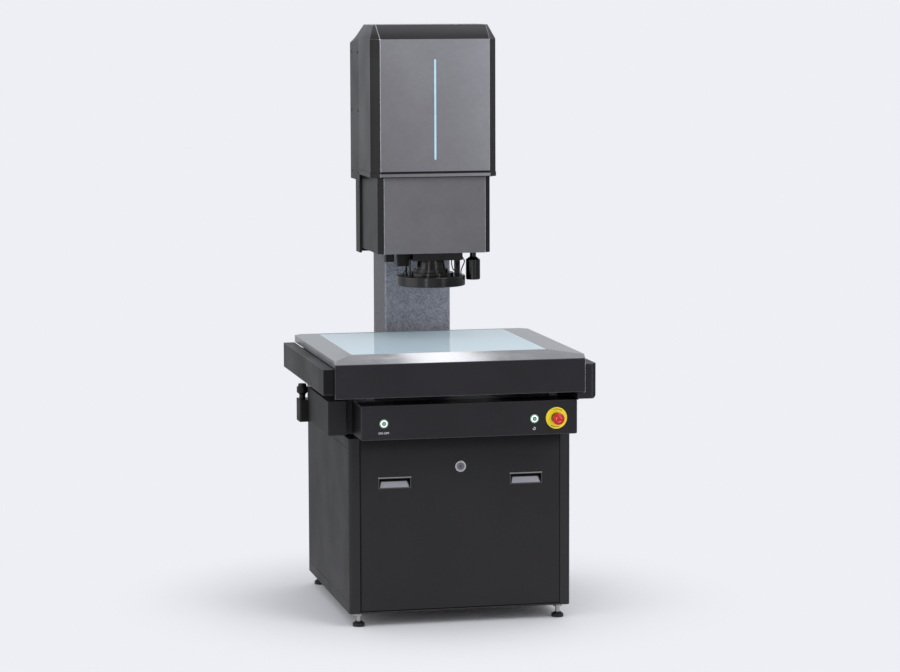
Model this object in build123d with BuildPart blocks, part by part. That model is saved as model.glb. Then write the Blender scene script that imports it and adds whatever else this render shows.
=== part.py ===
from build123d import *
import os

os.makedirs("parts", exist_ok=True)

# Vision measuring machine: a camera head on a granite column looks down on a
# glass table that slides in X and Y, all carried by a floor cabinet.
# It is drawn from the floor under the cabinet's middle. Each finished piece is
# then moved, so that the origin lies on the floor under the middle of the whole
# outline. Front is -Y, up is +Z. All sizes are in millimetres.
outline_middle_x = -27.5
outline_middle_y = -23.25
to_origin = Location((-outline_middle_x, -outline_middle_y, 0))

# Sheet metal and clearances
sheet = 2.0
running_gap = 0.3
shaft_gap = 0.05
seam = 1.2

# Floor cabinet
cabinet_width = 634.0
cabinet_depth = 680.0
cabinet_bottom = 39.0
cabinet_top = 533.0
cabinet_corner = 12.0
post_width = 29.5
rail_height = 28.0
panel_tray_depth = 18.0
stop_width = 10.0
stop_gap = 1.8
hinge_seam = 2.5
hinge_inset = 5.0
hinge_pin_radius = 2.4
cabinet_half = cabinet_width / 2
cabinet_front = -cabinet_depth / 2
cabinet_rear = cabinet_depth / 2

# Levelling feet
foot_inset_x = 30.0
foot_inset_y = 29.0
foot_pad_radius = 17.0
foot_pad_height = 14.0
foot_stud_radius = 6.0
foot_nut_height = 9.0
foot_nut_flats = 22.0

# Access panel, its pull cups and its lock
access_bottom = 46.0
access_top = 530.0
cup_width = 94.0
cup_height = 33.0
cup_depth = 15.0
cup_frame = 1.5
cup_lip = 1.5
cup_center_x = 188.0
cup_center_z = 406.0
lock_center_z = 446.0
lock_radius = 15.8
lock_neck_radius = 10.0
lock_proud = 2.2
lock_length = 26.0
cam_reach = 76.0
cam_width = 16.0
cam_thickness = 2.5
louvre_count = 9
louvre_width = 220.0
louvre_height = 5.0
louvre_pitch = 14.0
louvre_center_z = 400.0
cable_slot_length = 90.0
cable_slot_height = 26.0
cable_slot_x = 180.0
cable_slot_z = 110.0

# Electronics inside the cabinet
computer_size = (180.0, 420.0, 330.0)
computer_x = -140.0
controller_size = (260.0, 300.0, 120.0)
controller_x = 120.0

# Granite base and its supports
base_support_height = 13.0
base_support_radius = 28.0
base_support_x = 235.0
base_support_y = 250.0
granite_height = 95.0
granite_front = -380.0
granite_rear = 420.0
granite_edge = 3.0
granite_bottom = cabinet_top + base_support_height
granite_top = granite_bottom + granite_height

# Switch box across the front of the granite
box_half = 305.3
box_front = -462.0
box_side_end = -293.0
box_lap = 1.0
box_bottom = granite_bottom - box_lap
box_edge_radius = 5.0
granite_half = box_half - sheet
switch_z = 591.0
power_x = -242.0
reset_x = 182.0
estop_x = 245.0
switch_hole_radius = 11.1
bezel_radius = 13.2
bezel_height = 3.0
cap_radius = 9.0
cap_proud = 1.6
cap_travel = 2.0
barrel_radius = 10.6
barrel_length = 34.0
estop_plate_radius = 30.0
estop_plate_thickness = 1.5
estop_collar_radius = 15.0
estop_collar_height = 10.0
estop_stem_radius = 7.0
estop_stem_seat = 6.0
estop_head_radius = 16.5
estop_head_height = 12.0
estop_travel = 4.0
contact_block_size = 30.0
contact_block_depth = 40.0

# Left side box of the granite and the cable box behind it
side_box_width = 72.7
side_box_left = -(box_half + side_box_width)
side_box_front = -356.0
side_box_rear = -30.0
side_box_bottom = granite_bottom + box_lap
side_box_top = granite_top + box_lap
side_slot_width = 21.7
side_slot_left = -(box_half + side_slot_width)
side_slot_depth = 22.0
cable_box_proud = 24.0
cable_box_left = side_box_left - cable_box_proud
cable_box_rear = 28.0
cable_box_bottom = 541.0
cable_box_top = 604.0
cable_box_radius = 5.0
cable_box_rib = 3.0
cable_box_rib_pitch = 9.0
connector_top = 648.0
connector_radius = 16.0
connector_neck_radius = 9.0

# Linear guides: rails and their carriages
y_rail_x = 260.0
y_rail_front = -370.0
y_rail_rear = 400.0
y_rail_width = 23.0
y_rail_height = 20.0
y_stack_height = 39.0
y_carriage_width = 70.0
y_carriage_length = 62.0
y_carriage_spots = (35.0, 100.0, 165.0)
x_rail_width = 20.0
x_rail_height = 16.0
x_stack_height = 32.0
x_carriage_width = 60.0
x_carriage_length = 80.0
x_carriage_half_pitch = 52.0
rail_waist = 2.2

# Saddle: slides in Y and carries the X guides
table_offset = -28.5
saddle_front = -470.0
saddle_rear = 200.0
saddle_thickness = 36.0
saddle_half = 351.5
window_half = 200.0
window_front = -330.0
window_rear = 120.0
saddle_bottom = granite_top + y_stack_height
saddle_top = saddle_bottom + saddle_thickness
x_rail_front_y = -410.0
x_rail_rear_y = 160.0

# End covers of the saddle
cover_front = -475.0
cover_rear = 185.0
left_cover_width = 32.0
left_cover_bottom = 676.0
left_cover_top = 746.0
right_cover_width = 34.0
right_cover_bottom = 643.5
right_cover_top = 741.0
right_cover_bevel = 13.0
right_cover_lip = 20.0
right_cover_lip_height = 19.0

# Ball screws
screw_radius = 8.0
screw_neck_radius = 6.0
bearing_length = 12.0
y_screw_x = -150.0
y_screw_height = 20.0
y_screw_z = granite_top + y_screw_height
y_screw_front = -275.0
y_screw_rear = 236.0
y_nut_y = 150.0
y_nut_length = 50.0
x_screw_y = -355.0
x_screw_left = -378.0
x_screw_right = 206.0
x_nut_offset = -60.0
x_nut_length = 50.0
nut_half = 15.0
x_nut_half = 12.5
y_motor_size = 38.0
x_motor_size = 34.0
motor_length = 92.0
motor_pocket = 5.0
coupling_radius = 11.0
coupling_length = 14.0

# Table top with its glass and front apron
table_thickness = 20.0
table_bottom = saddle_top + x_stack_height
table_top = table_bottom + table_thickness
table_half = 351.0
table_front = -479.5
table_rear = 201.0
table_front_slope = 11.5
table_front_drop = 10.3
table_corner = 22.0
glass_half = 278.5
glass_front = -336.6
glass_rear = 188.7
glass_thickness = 8.0
glass_ledge = 22.0
glass_ledge_rear = 68.0
glass_gap = 0.4
apron_thickness = 3.0
apron_bottom = 664.0
apron_return = 4.0

# Light below the glass
lens_y = 50.5
backlight_radius = 60.0
backlight_height = 35.0
backlight_lens_radius = 42.0

# Granite column
column_half = 98.4
column_front = 237.0
column_depth = 180.0
column_top = 1625.0
column_edge = 4.0
duct_width = 90.0
duct_depth = 28.0

# Z axis on the front of the column
z_plate_half = 88.0
z_plate_thickness = 20.0
z_plate_bottom = 1017.5
z_plate_headroom = 69.0
z_plate_top = column_top - z_plate_headroom
z_rail_x = 60.0
z_rail_width = 20.0
z_rail_height = 16.0
z_stack_height = 30.0
z_carriage_width = 44.0
z_carriage_length = 78.0
z_carriage_spots = (1195.0, 1345.0)
z_slide_thickness = 25.0
z_slide_half = 85.0
z_slide_top = 1400.0
z_bearing_inset = (6.5, 18.0)
z_bearing_z = (z_plate_bottom + z_bearing_inset[0], z_plate_top - z_bearing_inset[1])
z_nut_z = 1270.0
z_motor_size = 56.0
z_motor_length = 78.0

# Moving camera housing
housing_bottom = 1015.0
housing_top = 1370.0
housing_half = 165.4
housing_front = -13.0
housing_chamfer = 16.5
housing_seam_y = 245.0
housing_side_end = 260.0
housing_back_half = 172.0
housing_back_y = 303.0
housing_back_bottom = 1000.0
housing_column_gap = 6.5

# Fixed head cover over the Z axis
head_bottom = 1235.0
head_over_column = 5.0
head_roof_height = 41.0
head_rear_drop = 14.0
head_rear_roof = 16.0
head_shoulder = column_top + head_over_column
head_top = head_shoulder + head_roof_height
head_rear_shoulder = head_shoulder - head_rear_drop
head_rear_top = head_rear_shoulder + head_rear_roof
head_half = 184.0
head_front = -22.0
head_seam_y = 180.0
head_rear = 317.0
head_chamfer_x = 24.0
head_chamfer_y = 30.0
head_top_inset = 16.0
head_top_front = 57.0
head_top_corner = 6.0
head_back_bottom = 1217.0
head_hem_height = 13.0
head_hem_proud = 1.2
head_lip = 25.0

# Optics under the housing
tube_radius = 35.0
tube_top = 1250.0
front_lens_radius = 28.0
camera_side = 46.0
camera_height = 62.0
clamp_z = (1110.0, 1200.0)
clamp_height = 22.0
clamp_wall = 12.0
neck_top_radius = 40.0
neck_radius = 44.5
neck_bottom = 966.0
collar_radius = 50.5
collar_bottom = 956.0
flange_radius = 66.5
flange_bottom = 948.0
ring_radius = 100.0
ring_bore = 46.0
ring_height = 29.5
ring_top = flange_bottom
ring_bottom = ring_top - ring_height
ring_edge = 3.0
hanger_left = -61.0
hanger_right = 84.5
hanger_bottom = 993.0
hanger_depth = 96.0
strap_width = 12.0
strap_depth = 26.0
rod_radius = 3.0
probe_x = 126.0
probe_radius = 20.8
probe_neck_radius = 9.0
probe_bottom = 932.0
probe_shoulder = 990.0
probe_taper = 9.0
connector_spots = ((-123.0, 26.0, 989.0), (-81.0, 40.0, 976.0))
connector_depth = 30.0
lead_radius = 1.6


def slab(x, y, z, mode=Mode.ADD):
    """A block between three (low, high) pairs."""
    middle = ((x[0] + x[1]) / 2, (y[0] + y[1]) / 2, (z[0] + z[1]) / 2)
    with Locations(middle):
        Box(x[1] - x[0], y[1] - y[0], z[1] - z[0], mode=mode)


def rod_z(radius, x, y, z, mode=Mode.ADD):
    """An upright round bar between the heights in z."""
    with Locations((x, y, (z[0] + z[1]) / 2)):
        Cylinder(radius, z[1] - z[0], mode=mode)


def rod_y(radius, x, y, z, mode=Mode.ADD):
    """A round bar along Y between the two values of y."""
    with Locations((x, (y[0] + y[1]) / 2, z)):
        Cylinder(radius, y[1] - y[0], rotation=(90, 0, 0), mode=mode)


def rod_x(radius, x, y, z, mode=Mode.ADD):
    """A round bar along X between the two values of x."""
    with Locations(((x[0] + x[1]) / 2, y, z)):
        Cylinder(radius, x[1] - x[0], rotation=(0, 90, 0), mode=mode)


def around(middle, half):
    """The (low, high) pair that lies half to each side of the middle."""
    return (middle - half, middle + half)


def rail_section(width, height):
    """Corner points of a profile rail that stands on its foot."""
    half = width / 2
    return [
        (-half, 0),
        (half, 0),
        (half, height * 0.30),
        (half - rail_waist, height * 0.45),
        (half - rail_waist, height * 0.62),
        (half, height * 0.74),
        (half, height),
        (-half, height),
        (-half, height * 0.74),
        (-half + rail_waist, height * 0.62),
        (-half + rail_waist, height * 0.45),
        (-half, height * 0.30),
    ]


def cover_outline(half, front, rear, corner_x, corner_y):
    """Plan of a head cover: a rectangle with its two front corners cut."""
    return [
        (-half, rear),
        (-half, front + corner_y),
        (-half + corner_x, front),
        (half - corner_x, front),
        (half, front + corner_y),
        (half, rear),
    ]


def outline_sketch(points, height):
    """A closed flat outline at the given height."""
    with BuildSketch(Plane.XY.offset(height)) as flat:
        with BuildLine():
            Polyline(*points, close=True)
        make_face()
    return flat.sketch


# Levelling feet: pads with studs
foot_x = cabinet_half - foot_inset_x
foot_y = cabinet_rear - foot_inset_y
foot_spots = [(-foot_x, -foot_y), (foot_x, -foot_y), (-foot_x, foot_y), (foot_x, foot_y)]
with BuildPart() as levelling_feet:
    for spot_x, spot_y in foot_spots:
        with BuildSketch(Plane.XZ.offset(-spot_y)):
            with BuildLine():
                Polyline(
                    (spot_x, 0),
                    (spot_x + foot_pad_radius, 0),
                    (spot_x + foot_pad_radius, foot_pad_height * 0.6),
                    (spot_x + foot_stud_radius * 1.6, foot_pad_height),
                    (spot_x + foot_stud_radius, foot_pad_height),
                    (spot_x + foot_stud_radius, cabinet_bottom + 2 * sheet),
                    (spot_x, cabinet_bottom + 2 * sheet),
                    close=True,
                )
            make_face()
        revolve(axis=Axis((spot_x, spot_y, 0), (0, 0, 1)))
levelling_feet.part.label = "levelling_feet"
levelling_feet.part.move(to_origin)
export_step(levelling_feet.part, "parts/levelling_feet.step")

# Lock nuts that hold each foot to the cabinet floor
with BuildPart() as foot_lock_nuts:
    with BuildSketch(Plane.XY.offset(cabinet_bottom - foot_nut_height)):
        with Locations(*foot_spots):
            RegularPolygon(foot_nut_flats / 2, 6, major_radius=False)
            Circle(foot_stud_radius, mode=Mode.SUBTRACT)
    extrude(amount=foot_nut_height)
foot_lock_nuts.part.label = "foot_lock_nuts"
foot_lock_nuts.part.move(to_origin)
export_step(foot_lock_nuts.part, "parts/foot_lock_nuts.step")

# Cabinet frame: a welded sheet body with an opening on each side
opening_half_x = cabinet_half - post_width
access_half = opening_half_x - seam
access_back = cabinet_front + panel_tray_depth
opening_half_y = cabinet_rear - post_width
opening_z = (cabinet_bottom + rail_height, cabinet_top - rail_height)
hinge_y = cabinet_front + hinge_inset
hinge_z = access_bottom + hinge_inset
with BuildPart() as cabinet_frame:
    with BuildSketch(Plane.XY.offset(cabinet_bottom)):
        RectangleRounded(cabinet_width, cabinet_depth, cabinet_corner)
    extrude(amount=cabinet_top - cabinet_bottom)
    with BuildSketch(Plane.XY.offset(cabinet_bottom + sheet)):
        RectangleRounded(cabinet_width - 2 * sheet, cabinet_depth - 2 * sheet, cabinet_corner - sheet)
    extrude(amount=cabinet_top - cabinet_bottom - 2 * sheet, mode=Mode.SUBTRACT)
    slab(
        around(0, opening_half_x),
        (cabinet_front - sheet, cabinet_front + post_width),
        (access_bottom - hinge_seam, access_top + seam),
        mode=Mode.SUBTRACT,
    )
    rear_y = (cabinet_rear - post_width, cabinet_rear + sheet)
    slab(around(0, opening_half_x), rear_y, opening_z, mode=Mode.SUBTRACT)
    slab(around(0, cabinet_half + sheet), around(0, opening_half_y), opening_z, mode=Mode.SUBTRACT)
    # Folded post walls with the stops that the access panel closes against
    stop_y = access_back + stop_gap
    for side in (-1, 1):
        wall = sorted((side * opening_half_x, side * (opening_half_x + sheet)))
        wall_y = (cabinet_front, cabinet_front + post_width + panel_tray_depth)
        slab(wall, wall_y, (access_bottom, access_top))
        stop = sorted((side * opening_half_x, side * (opening_half_x - stop_width)))
        slab(stop, (stop_y, stop_y + sheet), (access_bottom, access_top))
        pin = sorted((side * (access_half - 2 * sheet), side * (opening_half_x + sheet)))
        rod_x(hinge_pin_radius, pin, hinge_y, hinge_z)
    for spot_x, spot_y in foot_spots:
        rod_z(foot_stud_radius, spot_x, spot_y, (cabinet_bottom, cabinet_bottom + sheet), mode=Mode.SUBTRACT)
cabinet_frame.part.label = "cabinet_frame"
cabinet_frame.part.move(to_origin)
export_step(cabinet_frame.part, "parts/cabinet_frame.step")

# Side and rear panels: trays set into the frame, the rear one with cooling slots
side_margin = 12.0
with BuildPart() as cabinet_panels:
    for side in (-1, 1):
        skin = sorted((side * (cabinet_half - sheet), side * (cabinet_half - 2 * sheet)))
        slab(
            skin,
            around(0, opening_half_y + side_margin),
            (opening_z[0] - side_margin, opening_z[1] + side_margin),
        )
        face = sorted((side * (cabinet_half - sheet), side * cabinet_half))
        slab(face, around(0, opening_half_y - seam), (opening_z[0] + seam, opening_z[1] - seam))
    slab(
        around(0, opening_half_x + side_margin),
        (cabinet_rear - 2 * sheet, cabinet_rear - sheet),
        (opening_z[0] - side_margin, opening_z[1] + side_margin),
    )
    slab(
        around(0, opening_half_x - seam),
        (cabinet_rear - sheet, cabinet_rear),
        (opening_z[0] + seam, opening_z[1] - seam),
    )
    with BuildSketch(Plane.XZ.offset(-cabinet_rear)):
        with Locations((0, louvre_center_z)):
            with GridLocations(0, louvre_pitch, 1, louvre_count):
                SlotOverall(louvre_width, louvre_height)
        with Locations((cable_slot_x, cable_slot_z)):
            SlotOverall(cable_slot_length, cable_slot_height)
    extrude(amount=2 * sheet, mode=Mode.SUBTRACT)
cabinet_panels.part.label = "cabinet_panels"
cabinet_panels.part.move(to_origin)
export_step(cabinet_panels.part, "parts/cabinet_panels.step")

# Control computer on the cabinet floor
with BuildPart() as control_computer:
    slab(
        around(computer_x, computer_size[0] / 2),
        around(0, computer_size[1] / 2),
        (cabinet_bottom + sheet, cabinet_bottom + sheet + computer_size[2]),
    )
    fillet(control_computer.edges().filter_by(Axis.Z), radius=cabinet_corner / 2)
    with BuildSketch(Plane.XZ.offset(computer_size[1] / 2)):
        with Locations((computer_x, cabinet_bottom + computer_size[2] * 0.3)):
            with GridLocations(0, louvre_pitch, 1, louvre_count):
                SlotOverall(computer_size[0] * 0.7, louvre_height)
    extrude(amount=-2 * sheet, mode=Mode.SUBTRACT)
control_computer.part.label = "control_computer"
control_computer.part.move(to_origin)
export_step(control_computer.part, "parts/control_computer.step")

# Motion controller beside the computer
with BuildPart() as motion_controller:
    slab(
        around(controller_x, controller_size[0] / 2),
        around(0, controller_size[1] / 2),
        (cabinet_bottom + sheet, cabinet_bottom + sheet + controller_size[2]),
    )
    chamfer(motion_controller.edges().filter_by(Axis.Y), length=sheet)
motion_controller.part.label = "motion_controller"
motion_controller.part.move(to_origin)
export_step(motion_controller.part, "parts/motion_controller.step")

# Access panel: a folded tray with two cup openings and a lock hole
with BuildPart() as access_panel:
    slab(around(0, access_half), (cabinet_front, access_back), (access_bottom, access_top))
    slab(
        around(0, access_half - sheet),
        (cabinet_front + sheet, access_back + sheet),
        (access_bottom + sheet, access_top - sheet),
        mode=Mode.SUBTRACT,
    )
    with BuildSketch(Plane.XZ.offset(-cabinet_front)):
        with Locations((-cup_center_x, cup_center_z), (cup_center_x, cup_center_z)):
            Rectangle(cup_width - 2 * cup_frame, cup_height - 2 * cup_frame)
        with Locations((0, lock_center_z)):
            Circle(lock_neck_radius + shaft_gap)
    extrude(amount=-sheet, mode=Mode.SUBTRACT)
    # Holes in both side returns for the pins that it tilts on
    rod_x(
        hinge_pin_radius + shaft_gap,
        around(0, access_half + sheet),
        hinge_y,
        hinge_z,
        mode=Mode.SUBTRACT,
    )
access_panel.part.label = "access_panel"
access_panel.part.move(to_origin)
export_step(access_panel.part, "parts/access_panel.step")

# Pull cups: shallow scoops set into the access panel
with BuildPart() as pull_cups:
    for cup_x in (-cup_center_x, cup_center_x):
        slab(
            around(cup_x, cup_width / 2),
            (cabinet_front - cup_lip, cabinet_front),
            around(cup_center_z, cup_height / 2),
        )
        slab(
            around(cup_x, cup_width / 2 - cup_frame),
            (cabinet_front, cabinet_front + cup_depth),
            around(cup_center_z, cup_height / 2 - cup_frame),
        )
        # The scoop is deep under its top edge and slopes out to the bottom
        scoop_top = cup_center_z + cup_height / 2 - cup_frame - cup_lip
        scoop_bottom = cup_center_z - cup_height / 2 + cup_frame + cup_lip
        scoop_mouth = cabinet_front - 2 * cup_lip
        scoop_back = cabinet_front + cup_depth - cup_lip
        with BuildSketch(Plane.YZ.offset(cup_x - cup_width / 2 + cup_frame + cup_lip)):
            with BuildLine():
                Polyline(
                    (scoop_mouth, scoop_bottom),
                    (scoop_mouth, scoop_top - cup_frame),
                    (cabinet_front + cup_lip, scoop_top - cup_frame),
                    (cabinet_front + cup_lip, scoop_top),
                    (scoop_back, scoop_top),
                    (scoop_back, scoop_top - 2 * cup_frame),
                    (cabinet_front, scoop_bottom),
                    close=True,
                )
            make_face()
        extrude(amount=cup_width - 2 * cup_frame - 2 * cup_lip, mode=Mode.SUBTRACT)
pull_cups.part.label = "pull_cups"
pull_cups.part.move(to_origin)
export_step(pull_cups.part, "parts/pull_cups.step")

# Quarter-turn lock: a key barrel with its cam behind the panel
cam_y = cabinet_front + lock_length
with BuildPart() as cam_lock:
    rod_y(lock_radius, 0, (cabinet_front - lock_proud, cabinet_front - running_gap), lock_center_z)
    fillet(cam_lock.faces().sort_by(Axis.Y)[0].edges(), radius=lock_proud / 3)
    rod_y(lock_neck_radius, 0, (cabinet_front - running_gap, cam_y), lock_center_z)
    slab(
        around(0, sheet / 2),
        (cabinet_front - lock_proud - sheet, cabinet_front - lock_proud + lock_length / 4),
        around(lock_center_z, sheet * 2),
        mode=Mode.SUBTRACT,
    )
    with BuildSketch(Plane.XZ.offset(-cam_y)):
        with Locations((0, lock_center_z + cam_reach / 2 - cam_width / 2)):
            SlotOverall(cam_reach, cam_width, rotation=90)
    extrude(amount=-cam_thickness)
cam_lock.part.label = "cam_lock"
cam_lock.part.move(to_origin)
export_step(cam_lock.part, "parts/cam_lock.step")

# Supports between the cabinet and the granite
support_spots = [
    (-base_support_x, -base_support_y),
    (base_support_x, -base_support_y),
    (-base_support_x, base_support_y),
    (base_support_x, base_support_y),
]
with BuildPart() as base_supports:
    for spot_x, spot_y in support_spots:
        rod_z(base_support_radius, spot_x, spot_y, (cabinet_top, cabinet_top + base_support_height * 0.5))
        rod_z(
            base_support_radius * 0.7,
            spot_x,
            spot_y,
            (cabinet_top + base_support_height * 0.5, granite_bottom),
        )
base_supports.part.label = "base_supports"
base_supports.part.move(to_origin)
export_step(base_supports.part, "parts/base_supports.step")

# Granite base
with BuildPart() as granite_base:
    slab(around(0, granite_half), (granite_front, granite_rear), (granite_bottom, granite_top))
    chamfer(granite_base.edges().filter_by(Axis.Z), length=granite_edge)
granite_base.part.label = "granite_base"
granite_base.part.move(to_origin)
export_step(granite_base.part, "parts/granite_base.step")

# Switch box: folded sheet with side cheeks that lap the granite
box_top = granite_top
switch_spots = [(power_x, switch_z), (reset_x, switch_z), (estop_x, switch_z)]
with BuildPart() as switch_box:
    slab(around(0, box_half), (box_front, box_side_end), (box_bottom, box_top))
    fillet(
        switch_box.edges().filter_by(Axis.X).group_by(Axis.Y)[0],
        radius=box_edge_radius / 2,
    )
    fillet(
        switch_box.edges().filter_by(Axis.Z).group_by(Axis.Y)[0],
        radius=box_edge_radius,
    )
    slab(
        around(0, box_half - sheet),
        (box_front + sheet, box_side_end + sheet),
        (box_bottom + sheet, box_top - sheet),
        mode=Mode.SUBTRACT,
    )
    slab(
        around(0, box_half - sheet),
        (granite_front, box_side_end + sheet),
        (box_bottom - sheet, box_top + sheet),
        mode=Mode.SUBTRACT,
    )
    with BuildSketch(Plane.XZ.offset(-box_front)):
        with Locations(*switch_spots):
            Circle(switch_hole_radius)
    extrude(amount=-sheet, mode=Mode.SUBTRACT)
switch_box.part.label = "switch_box"
switch_box.part.move(to_origin)
export_step(switch_box.part, "parts/switch_box.step")

# Bezels of the two lit buttons, with their threaded barrels
with BuildPart() as button_bezels:
    for button_x in (power_x, reset_x):
        rod_y(bezel_radius, button_x, (box_front - bezel_height, box_front), switch_z)
    fillet(button_bezels.faces().sort_by(Axis.Y)[:2].edges(), radius=bezel_height / 3)
    for button_x in (power_x, reset_x):
        rod_y(barrel_radius, button_x, (box_front, box_front + barrel_length), switch_z)
        rod_y(
            cap_radius + shaft_gap,
            button_x,
            (box_front - 2 * bezel_height, box_front + barrel_length - sheet),
            switch_z,
            mode=Mode.SUBTRACT,
        )
button_bezels.part.label = "button_bezels"
button_bezels.part.move(to_origin)
export_step(button_bezels.part, "parts/button_bezels.step")

# The two button caps
cap_y = (box_front - bezel_height - cap_proud, box_front + barrel_length - sheet - 2 * cap_travel)
with BuildPart() as power_button:
    rod_y(cap_radius, power_x, cap_y, switch_z)
    fillet(power_button.faces().sort_by(Axis.Y)[0].edges(), radius=cap_proud / 2)
power_button.part.label = "power_button"
power_button.part.move(to_origin)
export_step(power_button.part, "parts/power_button.step")

with BuildPart() as reset_button:
    rod_y(cap_radius, reset_x, cap_y, switch_z)
    fillet(reset_button.faces().sort_by(Axis.Y)[0].edges(), radius=cap_proud / 2)
reset_button.part.label = "reset_button"
reset_button.part.move(to_origin)
export_step(reset_button.part, "parts/reset_button.step")

# Emergency stop: legend plate, collar with its barrel, stem and head
with BuildPart() as estop_plate:
    rod_y(estop_plate_radius, estop_x, (box_front - estop_plate_thickness, box_front), switch_z)
    rod_y(
        barrel_radius,
        estop_x,
        (box_front - 2 * estop_plate_thickness, box_front + sheet),
        switch_z,
        mode=Mode.SUBTRACT,
    )
estop_plate.part.label = "estop_plate"
estop_plate.part.move(to_origin)
export_step(estop_plate.part, "parts/estop_plate.step")

collar_back = box_front - estop_plate_thickness
collar_face = collar_back - estop_collar_height
with BuildPart() as estop_collar:
    rod_y(estop_collar_radius, estop_x, (collar_face, collar_back), switch_z)
    chamfer(estop_collar.faces().sort_by(Axis.Y)[0].edges(), length=estop_plate_thickness)
    rod_y(barrel_radius, estop_x, (collar_back, box_front + barrel_length), switch_z)
    rod_y(
        estop_stem_radius + shaft_gap,
        estop_x,
        (collar_face - sheet, box_front + barrel_length - sheet),
        switch_z,
        mode=Mode.SUBTRACT,
    )
estop_collar.part.label = "estop_collar"
estop_collar.part.move(to_origin)
export_step(estop_collar.part, "parts/estop_collar.step")

# Stem that is pressed in, with the turned head on its end
stem_face = collar_face - estop_travel - sheet
stem_end = box_front + barrel_length - sheet - 1.5 * estop_travel
head_face = stem_face - estop_head_height
with BuildPart() as estop_stem:
    rod_y(estop_stem_radius, estop_x, (stem_face - estop_stem_seat, stem_end), switch_z)
estop_stem.part.label = "estop_stem"
estop_stem.part.move(to_origin)
export_step(estop_stem.part, "parts/estop_stem.step")

with BuildPart() as estop_head:
    with BuildSketch(Plane.XY.offset(switch_z)) as mushroom_profile:
        with BuildLine():
            Polyline(
                (estop_x, head_face),
                (estop_x + estop_head_radius * 0.6, head_face),
                (estop_x + estop_head_radius, head_face + estop_head_height * 0.3),
                (estop_x + estop_head_radius, stem_face - sheet),
                (estop_x + estop_head_radius - sheet, stem_face),
                (estop_x, stem_face),
                close=True,
            )
        make_face()
        fillet(
            mushroom_profile.vertices().group_by(Axis.Y)[0].sort_by(Axis.X)[-1],
            radius=estop_head_height * 0.9,
        )
    revolve(axis=Axis((estop_x, 0, switch_z), (0, 1, 0)))
    rod_y(
        estop_stem_radius + shaft_gap,
        estop_x,
        (stem_face - estop_stem_seat - running_gap, stem_face + sheet),
        switch_z,
        mode=Mode.SUBTRACT,
    )
estop_head.part.label = "estop_head"
estop_head.part.move(to_origin)
export_step(estop_head.part, "parts/estop_head.step")

# Contact blocks clipped behind the three switches
with BuildPart() as contact_blocks:
    for spot_x, spot_z in switch_spots:
        slab(
            around(spot_x, contact_block_size / 2),
            (box_front + barrel_length, box_front + barrel_length + contact_block_depth),
            around(spot_z, contact_block_size / 2),
        )
contact_blocks.part.label = "contact_blocks"
contact_blocks.part.move(to_origin)
export_step(contact_blocks.part, "parts/contact_blocks.step")

# Side box on the left of the granite, with a shadow slot at its front
with BuildPart() as side_box:
    slab((side_box_left, -granite_half), (side_box_front, side_box_rear), (side_box_bottom, side_box_top))
    fillet(side_box.edges().filter_by(Axis.Z).group_by(Axis.X)[0], radius=sheet)
    slab(
        (-box_half, -granite_half + sheet),
        (side_box_front - sheet, box_side_end),
        (side_box_bottom - sheet, side_box_top + sheet),
        mode=Mode.SUBTRACT,
    )
    slab(
        (side_slot_left, -box_half + sheet),
        (side_box_front - sheet, side_box_front + side_slot_depth),
        (side_box_bottom - sheet, side_box_top + sheet),
        mode=Mode.SUBTRACT,
    )
side_box.part.label = "side_box"
side_box.part.move(to_origin)
export_step(side_box.part, "parts/side_box.step")

# Ribbed cable box behind it, with a round connector on top
connector_x = cable_box_left + connector_radius - cable_box_rib
connector_y = (side_box_rear + cable_box_rear) / 2
connector_height = connector_top - cable_box_top
with BuildPart() as cable_box:
    slab(
        (cable_box_left, -granite_half),
        (side_box_rear, cable_box_rear),
        (cable_box_bottom, cable_box_top),
    )
    fillet(cable_box.edges().filter_by(Axis.Z).group_by(Axis.X)[0], radius=cable_box_radius)
    with Locations((cable_box_left, connector_y, (cable_box_bottom + cable_box_top) / 2)):
        with GridLocations(0, cable_box_rib_pitch, 1, 5):
            Box(cable_box_rib, cable_box_rib, cable_box_top - cable_box_bottom + sheet, mode=Mode.SUBTRACT)
    with BuildSketch(Plane.XZ.offset(-connector_y)):
        with BuildLine():
            Polyline(
                (connector_x, cable_box_top),
                (connector_x + connector_neck_radius, cable_box_top),
                (connector_x + connector_neck_radius, cable_box_top + connector_height * 0.3),
                (connector_x + connector_radius, cable_box_top + connector_height * 0.45),
                (connector_x + connector_radius, connector_top - connector_height * 0.2),
                (connector_x + connector_radius * 0.8, connector_top - connector_height * 0.2),
                (connector_x + connector_radius * 0.7, connector_top),
                (connector_x, connector_top),
                close=True,
            )
        make_face()
    revolve(axis=Axis((connector_x, connector_y, 0), (0, 0, 1)))
cable_box.part.label = "cable_box"
cable_box.part.move(to_origin)
export_step(cable_box.part, "parts/cable_box.step")

# Y guides on the granite: two rails, their carriages under the saddle
with BuildPart() as y_rails:
    with BuildSketch(Plane.XZ.offset(-y_rail_front)):
        with Locations((-y_rail_x, granite_top), (y_rail_x, granite_top)):
            Polygon(*rail_section(y_rail_width, y_rail_height), align=None)
    extrude(amount=y_rail_front - y_rail_rear)
y_rails.part.label = "y_rails"
y_rails.part.move(to_origin)
export_step(y_rails.part, "parts/y_rails.step")

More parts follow.
